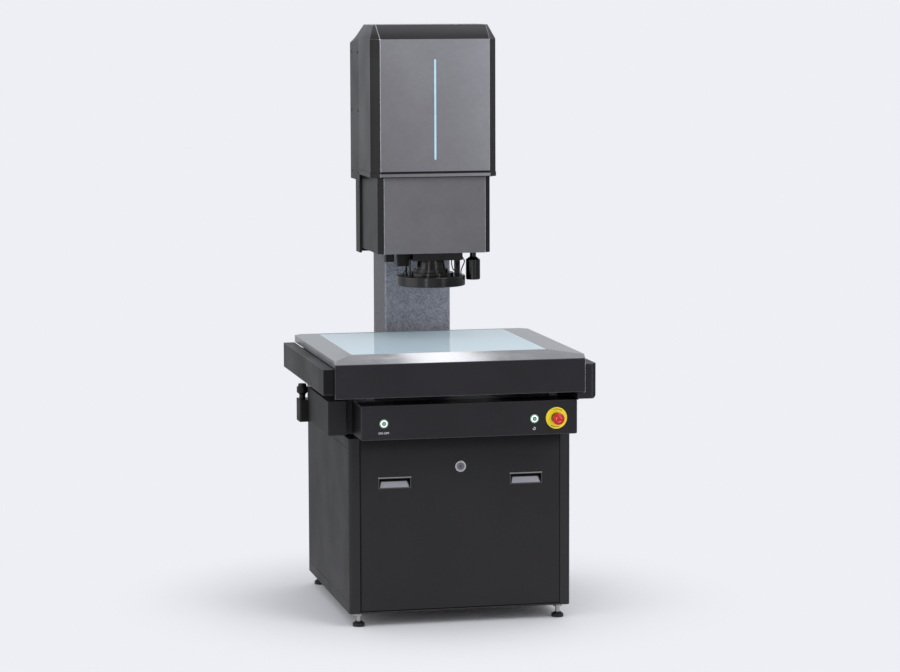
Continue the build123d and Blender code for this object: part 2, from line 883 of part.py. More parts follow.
with BuildPart() as y_carriages:
    for rail_x in (-y_rail_x, y_rail_x):
        for spot_y in y_carriage_spots:
            slab(
                around(rail_x, y_carriage_width / 2),
                around(spot_y, y_carriage_length / 2),
                (granite_top + y_rail_height * 0.3, saddle_bottom),
            )
        slab(
            around(rail_x, y_rail_width / 2 + running_gap),
            (y_rail_front, y_rail_rear),
            (granite_top, granite_top + y_rail_height + running_gap),
            mode=Mode.SUBTRACT,
        )
y_carriages.part.label = "y_carriages"
y_carriages.part.move(to_origin)
export_step(y_carriages.part, "parts/y_carriages.step")

# Saddle: a frame plate with a window for the light from below
saddle_left = table_offset - saddle_half
saddle_right = table_offset + saddle_half
x_coupling = (x_screw_right + seam, x_screw_right + seam + coupling_length)
x_motor_start = x_coupling[1] + running_gap
with BuildPart() as saddle:
    slab((saddle_left, saddle_right), (saddle_front, saddle_rear), (saddle_bottom, saddle_top))
    slab(
        around(table_offset, window_half),
        (window_front, window_rear),
        (saddle_bottom - sheet, saddle_top + sheet),
        mode=Mode.SUBTRACT,
    )
    fillet(
        saddle.edges().filter_by(Axis.Z).filter_by(
            lambda edge: abs(edge.center().X - table_offset) < window_half + sheet
        ),
        radius=cabinet_corner,
    )
    chamfer(saddle.edges().filter_by(Axis.X).group_by(Axis.Y)[0], length=sheet)
    # Pocket that lets the X motor sit on the screw line
    slab(
        (x_motor_start - sheet, x_motor_start + motor_length + sheet),
        around(x_screw_y, x_motor_size / 2 + sheet),
        (saddle_top - motor_pocket, saddle_top + sheet),
        mode=Mode.SUBTRACT,
    )
saddle.part.label = "saddle"
saddle.part.move(to_origin)
export_step(saddle.part, "parts/saddle.step")

# X guides on the saddle
x_rail_ends = (saddle_left + seam, saddle_right - seam)
with BuildPart() as x_rails:
    with BuildSketch(Plane.YZ.offset(x_rail_ends[0])):
        with Locations((x_rail_front_y, saddle_top), (x_rail_rear_y, saddle_top)):
            Polygon(*rail_section(x_rail_width, x_rail_height), align=None)
    extrude(amount=x_rail_ends[1] - x_rail_ends[0])
x_rails.part.label = "x_rails"
x_rails.part.move(to_origin)
export_step(x_rails.part, "parts/x_rails.step")

with BuildPart() as x_carriages:
    for rail_y in (x_rail_front_y, x_rail_rear_y):
        for side in (-1, 1):
            slab(
                around(table_offset + side * x_carriage_half_pitch, x_carriage_length / 2),
                around(rail_y, x_carriage_width / 2),
                (saddle_top + x_rail_height * 0.3, table_bottom),
            )
        slab(
            x_rail_ends,
            around(rail_y, x_rail_width / 2 + running_gap),
            (saddle_top, saddle_top + x_rail_height + running_gap),
            mode=Mode.SUBTRACT,
        )
x_carriages.part.label = "x_carriages"
x_carriages.part.move(to_origin)
export_step(x_carriages.part, "parts/x_carriages.step")

# End covers of the saddle
with BuildPart() as left_end_cover:
    left_x = (saddle_left - left_cover_width, saddle_left)
    slab(left_x, (cover_front, cover_rear), (left_cover_bottom, left_cover_top))
    fillet(left_end_cover.edges().filter_by(Axis.Z).group_by(Axis.X)[0], radius=sheet)
    slab(
        (left_x[0] + sheet, left_x[1] + sheet),
        (cover_front + sheet, cover_rear - sheet),
        (left_cover_bottom + sheet, left_cover_top - sheet),
        mode=Mode.SUBTRACT,
    )
left_end_cover.part.label = "left_end_cover"
left_end_cover.part.move(to_origin)
export_step(left_end_cover.part, "parts/left_end_cover.step")

# The right cover is deeper, bevelled and has a lip under the apron
right_outer = saddle_right + right_cover_width
with BuildPart() as right_end_cover:
    with BuildSketch(Plane.XZ.offset(-cover_front)):
        with BuildLine():
            Polyline(
                (saddle_right - right_cover_lip, right_cover_bottom),
                (right_outer - right_cover_bevel / 2, right_cover_bottom),
                (right_outer, right_cover_bottom + right_cover_bevel / 2),
                (right_outer, right_cover_top),
                (saddle_right, right_cover_top),
                (saddle_right, right_cover_bottom + right_cover_lip_height),
                (saddle_right - right_cover_lip, right_cover_bottom + right_cover_lip_height),
                close=True,
            )
        make_face()
    extrude(amount=cover_front - cover_rear)
    chamfer(
        right_end_cover.edges().filter_by(Axis.Z).group_by(Axis.X)[-1].sort_by(Axis.Y)[0],
        length=right_cover_bevel,
    )
    slab(
        (saddle_right, right_outer - sheet),
        (cover_front + right_cover_bevel, cover_rear - sheet),
        (right_cover_bottom + right_cover_bevel, right_cover_top - sheet),
        mode=Mode.SUBTRACT,
    )
right_end_cover.part.label = "right_end_cover"
right_end_cover.part.move(to_origin)
export_step(right_end_cover.part, "parts/right_end_cover.step")

# Y ball screw between bearings on the granite, nut under the saddle
with BuildPart() as y_bearings:
    for low in (y_screw_front, y_screw_rear - bearing_length):
        slab(
            around(y_screw_x, 2 * nut_half),
            (low, low + bearing_length),
            (granite_top, y_screw_z + nut_half),
        )
    rod_y(
        screw_neck_radius + shaft_gap,
        y_screw_x,
        (y_screw_front - sheet, y_screw_rear + sheet),
        y_screw_z,
        mode=Mode.SUBTRACT,
    )
y_bearings.part.label = "y_bearings"
y_bearings.part.move(to_origin)
export_step(y_bearings.part, "parts/y_bearings.step")

y_coupling = (y_screw_rear + seam, y_screw_rear + seam + coupling_length)
with BuildPart() as y_screw:
    rod_y(screw_neck_radius, y_screw_x, (y_screw_front, y_coupling[1]), y_screw_z)
    rod_y(
        screw_radius,
        y_screw_x,
        (y_screw_front + bearing_length + running_gap, y_screw_rear - bearing_length - running_gap),
        y_screw_z,
    )
    rod_y(coupling_radius, y_screw_x, y_coupling, y_screw_z)
y_screw.part.label = "y_screw"
y_screw.part.move(to_origin)
export_step(y_screw.part, "parts/y_screw.step")

with BuildPart() as y_nut:
    slab(
        around(y_screw_x, 1.4 * nut_half),
        around(y_nut_y, y_nut_length / 2),
        (y_screw_z - nut_half, saddle_bottom),
    )
    rod_y(
        screw_radius + shaft_gap,
        y_screw_x,
        around(y_nut_y, y_nut_length),
        y_screw_z,
        mode=Mode.SUBTRACT,
    )
y_nut.part.label = "y_nut"
y_nut.part.move(to_origin)
export_step(y_nut.part, "parts/y_nut.step")

with BuildPart() as y_motor:
    y_motor_start = y_coupling[1] + running_gap
    slab(
        around(y_screw_x, y_motor_size / 2),
        (y_motor_start, y_motor_start + motor_length),
        (granite_top, granite_top + y_motor_size),
    )
    chamfer(y_motor.edges().filter_by(Axis.Y), length=2 * sheet)
y_motor.part.label = "y_motor"
y_motor.part.move(to_origin)
export_step(y_motor.part, "parts/y_motor.step")

# X ball screw on the front beam of the saddle, nut under the table
x_screw_z = saddle_top + x_nut_half + 2 * running_gap
with BuildPart() as x_bearings:
    for low in (x_screw_left, x_screw_right - bearing_length):
        slab(
            (low, low + bearing_length),
            around(x_screw_y, 1.2 * nut_half),
            (saddle_top, x_screw_z + x_nut_half),
        )
    rod_x(
        screw_neck_radius + shaft_gap,
        (x_screw_left - sheet, x_screw_right + sheet),
        x_screw_y,
        x_screw_z,
        mode=Mode.SUBTRACT,
    )
x_bearings.part.label = "x_bearings"
x_bearings.part.move(to_origin)
export_step(x_bearings.part, "parts/x_bearings.step")

with BuildPart() as x_screw:
    rod_x(screw_neck_radius, (x_screw_left, x_coupling[1]), x_screw_y, x_screw_z)
    rod_x(
        screw_radius,
        (x_screw_left + bearing_length + running_gap, x_screw_right - bearing_length - running_gap),
        x_screw_y,
        x_screw_z,
    )
    rod_x(coupling_radius, x_coupling, x_screw_y, x_screw_z)
x_screw.part.label = "x_screw"
x_screw.part.move(to_origin)
export_step(x_screw.part, "parts/x_screw.step")

x_nut_x = table_offset + x_nut_offset
with BuildPart() as x_nut:
    slab(
        around(x_nut_x, x_nut_length / 2),
        around(x_screw_y, 1.3 * x_nut_half),
        (x_screw_z - x_nut_half, table_bottom),
    )
    rod_x(
        screw_radius + shaft_gap,
        around(x_nut_x, x_nut_length),
        x_screw_y,
        x_screw_z,
        mode=Mode.SUBTRACT,
    )
x_nut.part.label = "x_nut"
x_nut.part.move(to_origin)
export_step(x_nut.part, "parts/x_nut.step")

with BuildPart() as x_motor:
    slab(
        (x_motor_start, x_motor_start + motor_length),
        around(x_screw_y, x_motor_size / 2),
        (saddle_top - motor_pocket, saddle_top - motor_pocket + x_motor_size),
    )
    chamfer(x_motor.edges().filter_by(Axis.X), length=sheet)
x_motor.part.label = "x_motor"
x_motor.part.move(to_origin)
export_step(x_motor.part, "parts/x_motor.step")

# Light below the glass, standing on the granite
with BuildPart() as backlight:
    rod_z(backlight_radius, 0, lens_y, (granite_top, granite_top + backlight_height))
    rod_z(
        backlight_lens_radius,
        0,
        lens_y,
        (granite_top + backlight_height - 2 * sheet, granite_top + backlight_height + sheet),
        mode=Mode.SUBTRACT,
    )
    chamfer(backlight.faces().sort_by(Axis.Z)[-1].outer_wire().edges(), length=sheet)
backlight.part.label = "backlight"
backlight.part.move(to_origin)
export_step(backlight.part, "parts/backlight.step")

# Table top: a plate with a sloped front edge and a seat for the glass
table_x = around(table_offset, table_half)
glass_x = around(table_offset, glass_half)
with BuildPart() as table_plate:
    with BuildSketch(Plane.YZ.offset(table_x[0])):
        with BuildLine():
            Polyline(
                (table_front, table_bottom),
                (table_rear, table_bottom),
                (table_rear, table_top),
                (table_front + table_front_slope, table_top),
                (table_front, table_top - table_front_drop),
                close=True,
            )
        make_face()
    extrude(amount=2 * table_half)
    chamfer(
        table_plate.edges().filter_by(Axis.Z).group_by(Axis.Y)[-1],
        length=table_corner,
    )
    slab(
        (glass_x[0] - glass_gap, glass_x[1] + glass_gap),
        (glass_front - glass_gap, glass_rear + glass_gap),
        (table_top - glass_thickness, table_top + sheet),
        mode=Mode.SUBTRACT,
    )
    slab(
        (glass_x[0] + glass_ledge, glass_x[1] - glass_ledge),
        (glass_front + glass_ledge, glass_rear - glass_ledge_rear),
        (table_bottom - sheet, table_top),
        mode=Mode.SUBTRACT,
    )
table_plate.part.label = "table_plate"
table_plate.part.move(to_origin)
export_step(table_plate.part, "parts/table_plate.step")

with BuildPart() as table_glass:
    slab(glass_x, (glass_front, glass_rear), (table_top - glass_thickness, table_top - running_gap))
table_glass.part.label = "table_glass"
table_glass.part.move(to_origin)
export_step(table_glass.part, "parts/table_glass.step")

# Front apron: a folded sheet hung on the front of the table
apron_top = table_top - table_front_drop
with BuildPart() as table_apron:
    slab(table_x, (table_front - apron_thickness, table_front), (apron_bottom, apron_top))
    fillet(table_apron.edges().filter_by(Axis.X).group_by(Axis.Y)[0], radius=apron_thickness / 3)
    for end in (table_x[0], table_x[1] - apron_thickness):
        slab(
            (end, end + apron_thickness),
            (table_front, table_front + apron_return),
            (apron_bottom, table_bottom),
        )
    slab(
        (table_x[0] + apron_thickness, table_x[1] - apron_thickness),
        (table_front, table_front + apron_return),
        (apron_bottom, apron_bottom + apron_thickness),
    )
table_apron.part.label = "table_apron"
table_apron.part.move(to_origin)
export_step(table_apron.part, "parts/table_apron.step")

# Granite column
column_rear = column_front + column_depth
with BuildPart() as granite_column:
    slab(around(0, column_half), (column_front, column_rear), (granite_top, column_top))
    chamfer(granite_column.edges().filter_by(Axis.Z), length=column_edge)
granite_column.part.label = "granite_column"
granite_column.part.move(to_origin)
export_step(granite_column.part, "parts/granite_column.step")

# Cable duct down the back of the column
with BuildPart() as cable_duct:
    slab(
        around(0, duct_width / 2),
        (column_rear, column_rear + duct_depth),
        (granite_top, column_top - duct_width),
    )
    slab(
        around(0, duct_width / 2 - sheet),
        (column_rear - sheet, column_rear + duct_depth - sheet),
        (granite_top - sheet, column_top - duct_width - sheet),
        mode=Mode.SUBTRACT,
    )
cable_duct.part.label = "cable_duct"
cable_duct.part.move(to_origin)
export_step(cable_duct.part, "parts/cable_duct.step")

# Z base plate, rails and ball screw on the front of the column
z_plate_y = (column_front - z_plate_thickness, column_front)
with BuildPart() as z_base_plate:
    slab(around(0, z_plate_half), z_plate_y, (z_plate_bottom, z_plate_top))
    chamfer(z_base_plate.edges().filter_by(Axis.Z).group_by(Axis.Y)[0], length=sheet)
z_base_plate.part.label = "z_base_plate"
z_base_plate.part.move(to_origin)
export_step(z_base_plate.part, "parts/z_base_plate.step")

z_guide_y = z_plate_y[0]
z_rail_ends = (z_plate_bottom + sheet, z_plate_top - sheet)
with BuildPart() as z_rails:
    with BuildSketch(Plane.XY.offset(z_rail_ends[0])):
        with Locations(Location((-z_rail_x, z_guide_y), 180), Location((z_rail_x, z_guide_y), 180)):
            Polygon(*rail_section(z_rail_width, z_rail_height), align=None)
    extrude(amount=z_rail_ends[1] - z_rail_ends[0])
z_rails.part.label = "z_rails"
z_rails.part.move(to_origin)
export_step(z_rails.part, "parts/z_rails.step")

z_slide_back = z_guide_y - z_stack_height
with BuildPart() as z_carriages:
    for rail_x in (-z_rail_x, z_rail_x):
        for spot_z in z_carriage_spots:
            slab(
                around(rail_x, z_carriage_width / 2),
                (z_slide_back, z_guide_y - z_rail_height * 0.3),
                around(spot_z, z_carriage_length / 2),
            )
        slab(
            around(rail_x, z_rail_width / 2 + running_gap),
            (z_guide_y - z_rail_height - running_gap, z_guide_y),
            z_rail_ends,
            mode=Mode.SUBTRACT,
        )
z_carriages.part.label = "z_carriages"
z_carriages.part.move(to_origin)
export_step(z_carriages.part, "parts/z_carriages.step")

z_screw_y = z_guide_y - z_stack_height / 2
with BuildPart() as z_bearings:
    for low in z_bearing_z:
        slab(
            around(0, 1.2 * nut_half),
            (z_screw_y - nut_half * 0.9, z_guide_y),
            (low, low + bearing_length),
        )
    rod_z(
        screw_neck_radius + shaft_gap,
        0,
        z_screw_y,
        (z_plate_bottom, z_plate_top),
        mode=Mode.SUBTRACT,
    )
z_bearings.part.label = "z_bearings"
z_bearings.part.move(to_origin)
export_step(z_bearings.part, "parts/z_bearings.step")

z_coupling_low = z_bearing_z[1] + bearing_length + seam
z_coupling = (z_coupling_low, z_coupling_low + coupling_length)
with BuildPart() as z_screw:
    rod_z(screw_neck_radius, 0, z_screw_y, (z_bearing_z[0], z_coupling[1]))
    rod_z(
        screw_radius,
        0,
        z_screw_y,
        (z_bearing_z[0] + bearing_length + running_gap, z_bearing_z[1] - running_gap),
    )
    rod_z(coupling_radius, 0, z_screw_y, z_coupling)
z_screw.part.label = "z_screw"
z_screw.part.move(to_origin)
export_step(z_screw.part, "parts/z_screw.step")

# Motor bracket and motor above the screw
z_motor_low = z_coupling[1] + running_gap
with BuildPart() as z_motor:
    slab(
        around(0, z_motor_size / 2),
        (column_front - z_motor_size, column_front),
        (z_motor_low, z_motor_low + sheet * 3),
    )
    slab(
        around(0, z_motor_size / 2),
        (column_front - z_motor_size, column_front - sheet),
        (z_motor_low + sheet * 3, z_motor_low + z_motor_length),
    )
    chamfer(z_motor.edges().filter_by(Axis.Z), length=sheet)
z_motor.part.label = "z_motor"
z_motor.part.move(to_origin)
export_step(z_motor.part, "parts/z_motor.step")

# Z slide plate with the nut block and the two lens clamps
z_slide_front = z_slide_back - z_slide_thickness
with BuildPart() as z_slide:
    slab(
        around(0, z_slide_half),
        (z_slide_front, z_slide_back),
        (housing_bottom + sheet, z_slide_top),
    )
    slab(
        around(0, 0.9 * nut_half),
        (z_slide_back, z_screw_y + 0.8 * nut_half),
        around(z_nut_z, x_nut_length / 2),
    )
    rod_z(
        screw_radius + shaft_gap,
        0,
        z_screw_y,
        around(z_nut_z, x_nut_length),
        mode=Mode.SUBTRACT,
    )
    for spot_z in clamp_z:
        slab(
            around(0, tube_radius + clamp_wall),
            (lens_y, z_slide_front),
            (spot_z, spot_z + clamp_height),
        )
        rod_z(tube_radius + clamp_wall, 0, lens_y, (spot_z, spot_z + clamp_height))
        rod_z(tube_radius, 0, lens_y, (spot_z - sheet, spot_z + clamp_height + sheet), mode=Mode.SUBTRACT)
z_slide.part.label = "z_slide"
z_slide.part.move(to_origin)
export_step(z_slide.part, "parts/z_slide.step")

# Lens: a turned tube with its neck, collar and flange under the housing
with BuildPart() as lens_tube:
    with BuildSketch(Plane.XZ.offset(-lens_y)):
        with BuildLine():
            Polyline(
                (0, flange_bottom),
                (flange_radius, flange_bottom),
                (flange_radius, collar_bottom),
                (collar_radius, collar_bottom),
                (collar_radius, neck_bottom),
                (neck_radius, neck_bottom),
                (neck_top_radius, hanger_bottom),
                (tube_radius, hanger_bottom),
                (tube_radius, tube_top),
                (0, tube_top),
                close=True,
            )
        make_face()
    revolve(axis=Axis((0, lens_y, 0), (0, 0, 1)))
    rod_z(
        front_lens_radius,
        0,
        lens_y,
        (flange_bottom - sheet, flange_bottom + clamp_wall),
        mode=Mode.SUBTRACT,
    )
lens_tube.part.label = "lens_tube"
lens_tube.part.move(to_origin)
export_step(lens_tube.part, "parts/lens_tube.step")

with BuildPart() as camera:
    slab(
        around(0, camera_side / 2),
        around(lens_y, camera_side / 2),
        (tube_top, tube_top + camera_height),
    )
    fillet(camera.edges().filter_by(Axis.Z), radius=2 * sheet)
camera.part.label = "camera"
camera.part.move(to_origin)
export_step(camera.part, "parts/camera.step")

# Ring light under the flange, with a stepped inner bore
with BuildPart() as ring_light:
    rod_z(ring_radius, 0, lens_y, (ring_bottom, ring_top))
    fillet(ring_light.edges().filter_by(GeomType.CIRCLE), radius=ring_edge)
    with BuildSketch(Plane.XZ.offset(-lens_y)):
        with BuildLine():
            Polyline(
                (0, ring_bottom - sheet),
                (ring_radius * 0.86, ring_bottom - sheet),
                (ring_radius * 0.86, ring_bottom + sheet),
                (ring_bore + clamp_wall, ring_bottom + sheet * 5),
                (ring_bore, ring_bottom + sheet * 5),
                (ring_bore, ring_top + sheet),
                (0, ring_top + sheet),
                close=True,
            )
        make_face()
    revolve(axis=Axis((0, lens_y, 0), (0, 0, 1)), mode=Mode.SUBTRACT)
ring_light.part.label = "ring_light"
ring_light.part.move(to_origin)
export_step(ring_light.part, "parts/ring_light.step")

# Hanger: plate under the housing floor, a strap and two rods down to the ring light
hanger_y = around(lens_y, hanger_depth / 2)
with BuildPart() as light_hanger:
    slab((hanger_left, hanger_right), hanger_y, (hanger_bottom, housing_bottom))
    hanger_hole_z = (hanger_bottom - sheet, housing_bottom + sheet)
    rod_z(tube_radius + running_gap, 0, lens_y, hanger_hole_z, mode=Mode.SUBTRACT)
    slab(
        (hanger_right - strap_width, hanger_right),
        around(lens_y, strap_depth / 2),
        (ring_top, hanger_bottom),
    )
    for rod_y_spot in (lens_y - strap_depth, lens_y + strap_depth):
        rod_z(rod_radius, hanger_left - rod_radius * 2, rod_y_spot, (ring_top, hanger_bottom + sheet))
        slab(
            (hanger_left - rod_radius * 3, hanger_left),
            around(rod_y_spot, rod_radius),
            (hanger_bottom, hanger_bottom + 2 * sheet),
        )
light_hanger.part.label = "light_hanger"
light_hanger.part.move(to_origin)
export_step(light_hanger.part, "parts/light_hanger.step")

# Laser pointer beside the lens: a turned body with a tapered shoulder
with BuildPart() as laser_pointer:
    with BuildSketch(Plane.XZ.offset(-lens_y)):
        with BuildLine():
            Polyline(
                (probe_x, probe_bottom),
                (probe_x + probe_radius - sheet, probe_bottom),
                (probe_x + probe_radius, probe_bottom + sheet),
                (probe_x + probe_radius, probe_shoulder),
                (probe_x + probe_neck_radius, probe_shoulder + probe_taper),
                (probe_x + probe_neck_radius, housing_bottom),
                (probe_x, housing_bottom),
                close=True,
            )
        make_face()
    revolve(axis=Axis((probe_x, lens_y, 0), (0, 0, 1)))
laser_pointer.part.label = "laser_pointer"
laser_pointer.part.move(to_origin)
export_step(laser_pointer.part, "parts/laser_pointer.step")

# Two plug connectors on the housing floor
with BuildPart() as floor_connectors:
    for spot_x, width, low in connector_spots:
        slab(around(spot_x, width / 2), around(lens_y, connector_depth / 2), (low, housing_bottom))
    fillet(floor_connectors.edges().filter_by(Axis.Z), radius=2 * sheet)
    # Thin leads: a loop beside the strap, one under a connector, one inside the strap
    strap_front = lens_y - strap_depth / 2
    lead_routes = [
        (
            [
                (90.0, 40.0, housing_bottom),
                (91.5, 40.0, 1000.0),
                (98.0, 40.0, 987.0),
                (94.0, 40.0, 974.0),
                (89.0, 40.0, 962.0),
                (88.0, 40.0, ring_top),
            ],
            ((0, 0, -1), (0, 0, -1)),
        ),
        (
            [
                (-74.0, 42.0, connector_spots[1][2]),
                (-75.0, 42.5, 967.0),
                (-80.0, 44.5, 957.0),
                (-82.0, 46.0, ring_top),
            ],
            ((0, 0, -1), (0, 0, -1)),
        ),
        (
            [
                (55.0, 18.0, hanger_bottom),
                (56.0, 17.0, 976.0),
                (63.0, 17.0, 962.5),
                (72.0, 20.0, 965.0),
                (77.0, 27.0, 976.0),
                (78.0, strap_front, 983.0),
            ],
            ((0, 0, -1), (0, 1, 0)),
        ),
    ]
    for route, ends in lead_routes:
        with BuildLine() as lead:
            Spline(*route, tangents=ends)
        with BuildSketch(Plane(origin=route[0], z_dir=ends[0])):
            Circle(lead_radius)
        sweep(path=lead.wire())
floor_connectors.part.label = "floor_connectors"
floor_connectors.part.move(to_origin)
export_step(floor_connectors.part, "parts/floor_connectors.step")

# Moving housing: folded shell with a floor that carries the optics hardware
housing_outer = outline_sketch(
    cover_outline(housing_half, housing_front, housing_side_end, housing_chamfer, housing_chamfer),
    housing_bottom,
)
housing_inner = outline_sketch(
    cover_outline(
        housing_half - sheet,
        housing_front + sheet,
        housing_side_end + sheet,
        housing_chamfer,
        housing_chamfer,
    ),
    housing_bottom + sheet,
)
with BuildPart() as camera_housing:
    extrude(housing_outer, amount=housing_top - housing_bottom)
    extrude(housing_inner, amount=housing_top - housing_bottom, mode=Mode.SUBTRACT)
    # The floor stops in front of the Z guides and is open for the lens tube
    slab(
        around(0, housing_half - sheet),
        (z_slide_back, housing_side_end + sheet),
        (housing_bottom - sheet, housing_bottom + sheet),
        mode=Mode.SUBTRACT,
    )
    floor_hole_z = (housing_bottom - sheet, housing_bottom + 2 * sheet)
    rod_z(tube_radius + running_gap, 0, lens_y, floor_hole_z, mode=Mode.SUBTRACT)
camera_housing.part.label = "camera_housing"
camera_housing.part.move(to_origin)
export_step(camera_housing.part, "parts/camera_housing.step")

# Back cover of the moving housing: two channels that wrap the column
with BuildPart() as housing_back_cover:
    for side in (-1, 1):
        wall = sorted((side * housing_back_half, side * (housing_back_half - sheet)))
        slab(wall, (housing_seam_y, housing_back_y), (housing_back_bottom, housing_top))
        front = sorted((side * housing_back_half, side * housing_half))
        slab(front, (housing_seam_y, housing_seam_y + sheet), (housing_back_bottom, housing_top))
        back = sorted((side * housing_back_half, side * (column_half + housing_column_gap)))
        slab(back, (housing_back_y - sheet, housing_back_y), (housing_back_bottom, housing_top))
housing_back_cover.part.label = "housing_back_cover"
housing_back_cover.part.move(to_origin)
export_step(housing_back_cover.part, "parts/housing_back_cover.step")


def head_outline(grow, extra_rear, height):
    """Plan of the front head cover, grown outwards by the given amount."""
    return outline_sketch(
        cover_outline(
            head_half + grow,
            head_front - grow,
            head_seam_y + extra_rear,
            head_chamfer_x,
            head_chamfer_y,
        ),
        height,
    )


def head_cap(grow, extra_rear, height):
    """Plan of the small flat top of the front head cover."""
    return outline_sketch(
        cover_outline(
            head_half - head_top_inset + grow,
            head_front + head_top_front - grow,
            head_seam_y + extra_rear,
            head_top_corner,
            head_top_corner,
        ),
        height,
    )


# Head cover, front half: folded sides with a faceted cap and a hem at the bottom
skin_drop = sheet / 2
head_height = head_shoulder - head_bottom
with BuildPart() as head_cover:
    extrude(head_outline(0, 0, head_bottom), amount=head_height)
    loft([head_outline(0, 0, head_shoulder).face(), head_cap(0, 0, head_top).face()], ruled=True)
    extrude(head_outline(head_hem_proud, 0, head_bottom), amount=head_hem_height)
    extrude(
        head_outline(-sheet, sheet, head_bottom - sheet),
        amount=head_height + sheet - skin_drop,
        mode=Mode.SUBTRACT,
    )
    loft(
        [
            head_outline(-sheet, sheet, head_shoulder - skin_drop).face(),
            head_cap(-sheet, sheet, head_top - sheet).face(),
        ],
        ruled=True,
        mode=Mode.SUBTRACT,
    )
head_cover.part.label = "head_cover"
head_cover.part.move(to_origin)
export_step(head_cover.part, "parts/head_cover.step")

def head_section(inset, y, shoulder, top):
    """Upright cross-section of the back head cover, drawn in by the inset."""
    half = head_half - inset
    cap_half = head_half - head_top_inset - inset
    with BuildSketch(Plane.XZ.offset(-y)) as flat:
        with BuildLine():
            Polyline(
                (-half, head_back_bottom - inset),
                (half, head_back_bottom - inset),
                (half, shoulder - inset / 2),
                (cap_half, top - inset),
                (-cap_half, top - inset),
                (-half, shoulder - inset / 2),
                close=True,
            )
        make_face()
    return flat.sketch.face()


# Head cover, back half: sloped roof, longer skirts and lips on the column
with BuildPart() as head_back_cover:
    loft(
        [
            head_section(0, head_seam_y, head_shoulder, head_top),
            head_section(0, head_rear, head_rear_shoulder, head_rear_top),
        ],
        ruled=True,
    )
    loft(
        [
            head_section(sheet, head_seam_y - sheet, head_shoulder, head_top),
            head_section(sheet, head_rear - sheet, head_rear_shoulder, head_rear_top),
        ],
        ruled=True,
        mode=Mode.SUBTRACT,
    )
    slab(
        around(0, column_half),
        (head_rear - 2 * sheet, head_rear + sheet),
        (head_back_bottom - sheet, column_top),
        mode=Mode.SUBTRACT,
    )
    for side in (-1, 1):
        lip = sorted((side * column_half, side * (column_half + sheet)))
        slab(lip, (head_rear - head_lip, head_rear), (head_back_bottom, head_rear_shoulder - duct_width))
head_back_cover.part.label = "head_back_cover"
head_back_cover.part.move(to_origin)
export_step(head_back_cover.part, "parts/head_back_cover.step")
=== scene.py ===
import math

import bpy
from mathutils import Matrix, Vector


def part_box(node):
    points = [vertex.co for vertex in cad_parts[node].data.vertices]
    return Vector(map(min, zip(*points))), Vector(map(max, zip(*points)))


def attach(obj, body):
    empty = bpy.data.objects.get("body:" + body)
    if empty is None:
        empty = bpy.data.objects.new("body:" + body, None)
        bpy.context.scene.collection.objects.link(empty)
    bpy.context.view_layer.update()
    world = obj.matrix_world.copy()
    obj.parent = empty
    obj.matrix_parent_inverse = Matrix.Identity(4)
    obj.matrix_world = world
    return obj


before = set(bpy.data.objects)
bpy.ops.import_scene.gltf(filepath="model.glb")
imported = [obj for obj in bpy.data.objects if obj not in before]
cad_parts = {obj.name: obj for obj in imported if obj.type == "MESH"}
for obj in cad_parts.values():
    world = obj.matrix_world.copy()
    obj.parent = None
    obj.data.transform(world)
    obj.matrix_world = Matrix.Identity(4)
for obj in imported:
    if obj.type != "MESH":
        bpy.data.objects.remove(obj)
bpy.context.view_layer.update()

MM = 0.001
# The cabinet's middle as seen from the shared origin, in millimetres
MIDDLE = Vector((27.5, 23.25, 0.0))

# Places on the machine, in millimetres from the cabinet's middle. Front is -Y, up is +Z
CABINET_FRONT = -340.0
CABINET_REAR = 340.0
BOX_FACE = -462.0
LEGEND_FACE = -463.4
STOP_FACE = -491.45
SWITCH_Z = 591.0
POWER_X = -242.0
RESET_X = 182.0
STOP_X = 245.0
LOCK_Z = 446.0
CUP_X = 188.0
GLASS_MIDDLE_X = -28.5
GLASS_FRONT = -336.6
LENS_Y = 50.5
HOUSING_FOLD_X = 148.9
HEAD_HALF = 184.0
HEAD_FOLD_X = 160.0
HEAD_FRONT = -22.0
HEAD_SIDE_JOINT_Y = 4.0
HEAD_REAR = 317.0


def at(x, y, z):
    """A point in metres, from millimetres measured from the cabinet's middle."""
    return (Vector((x, y, z)) + MIDDLE) * MM


# Colours
def srgb(red, green, blue):
    """A linear colour from the 0 to 255 values that a picture shows."""
    out = []
    for value in (red, green, blue):
        part = value / 255
        out.append(part / 12.92 if part <= 0.04045 else ((part + 0.055) / 1.055) ** 2.4)
    return (*out, 1.0)


def scaled(colour, factor):
    """A colour made brighter or darker by a factor."""
    return (*[min(1.0, c * factor) for c in colour[:3]], 1.0)


BACKDROP = srgb(238, 239, 245)
# Paint tones. The side, dark, top and slope tones of the black, cover and housing paints are painted
# shade: darker copies of one paint by the way a face looks. The back covers take the housing's side
# tone as their own. The cover's high front tone is a painted highlight that the head's front climbs
# to. The pale fold tone and the glint tone are painted highlights along folds, and the joint tone is
# the dark of joints.
BLACK_PAINT = srgb(39, 39, 41)
BLACK_SIDE_SHADED = srgb(30, 30, 31)
COVER_SHADED = srgb(18, 18, 19)
COVER_TOP_SHADED = srgb(66, 66, 68)
COVER_SLOPE_SHADED = srgb(26, 26, 27)
COVER_SIDE_SHADED = srgb(44, 44, 46)
COVER_FRONT = srgb(107, 106, 109)
COVER_FRONT_LIT = srgb(142, 142, 147)
HOUSING_FRONT = srgb(105, 104, 107)
HOUSING_SHADED = srgb(16, 16, 17)
HOUSING_SIDE = srgb(38, 38, 40)
RIM_HIGHLIGHT = srgb(176, 177, 184)
GLINT = srgb(232, 233, 240)
JOINT = srgb(6, 6, 7)

# Linear tones that the room mirrors: ahead of the machine, behind it, above it and on its left
ROOM_AHEAD = (0.22, 0.22, 0.23, 1)
ROOM_BEHIND = (0.66, 0.68, 0.71, 1)
ROOM_ABOVE = (0.60, 0.60, 0.62, 1)
ROOM_LEFT = (0.50, 0.51, 0.53, 1)
AMBIENT = (0.72, 0.73, 0.76, 1)

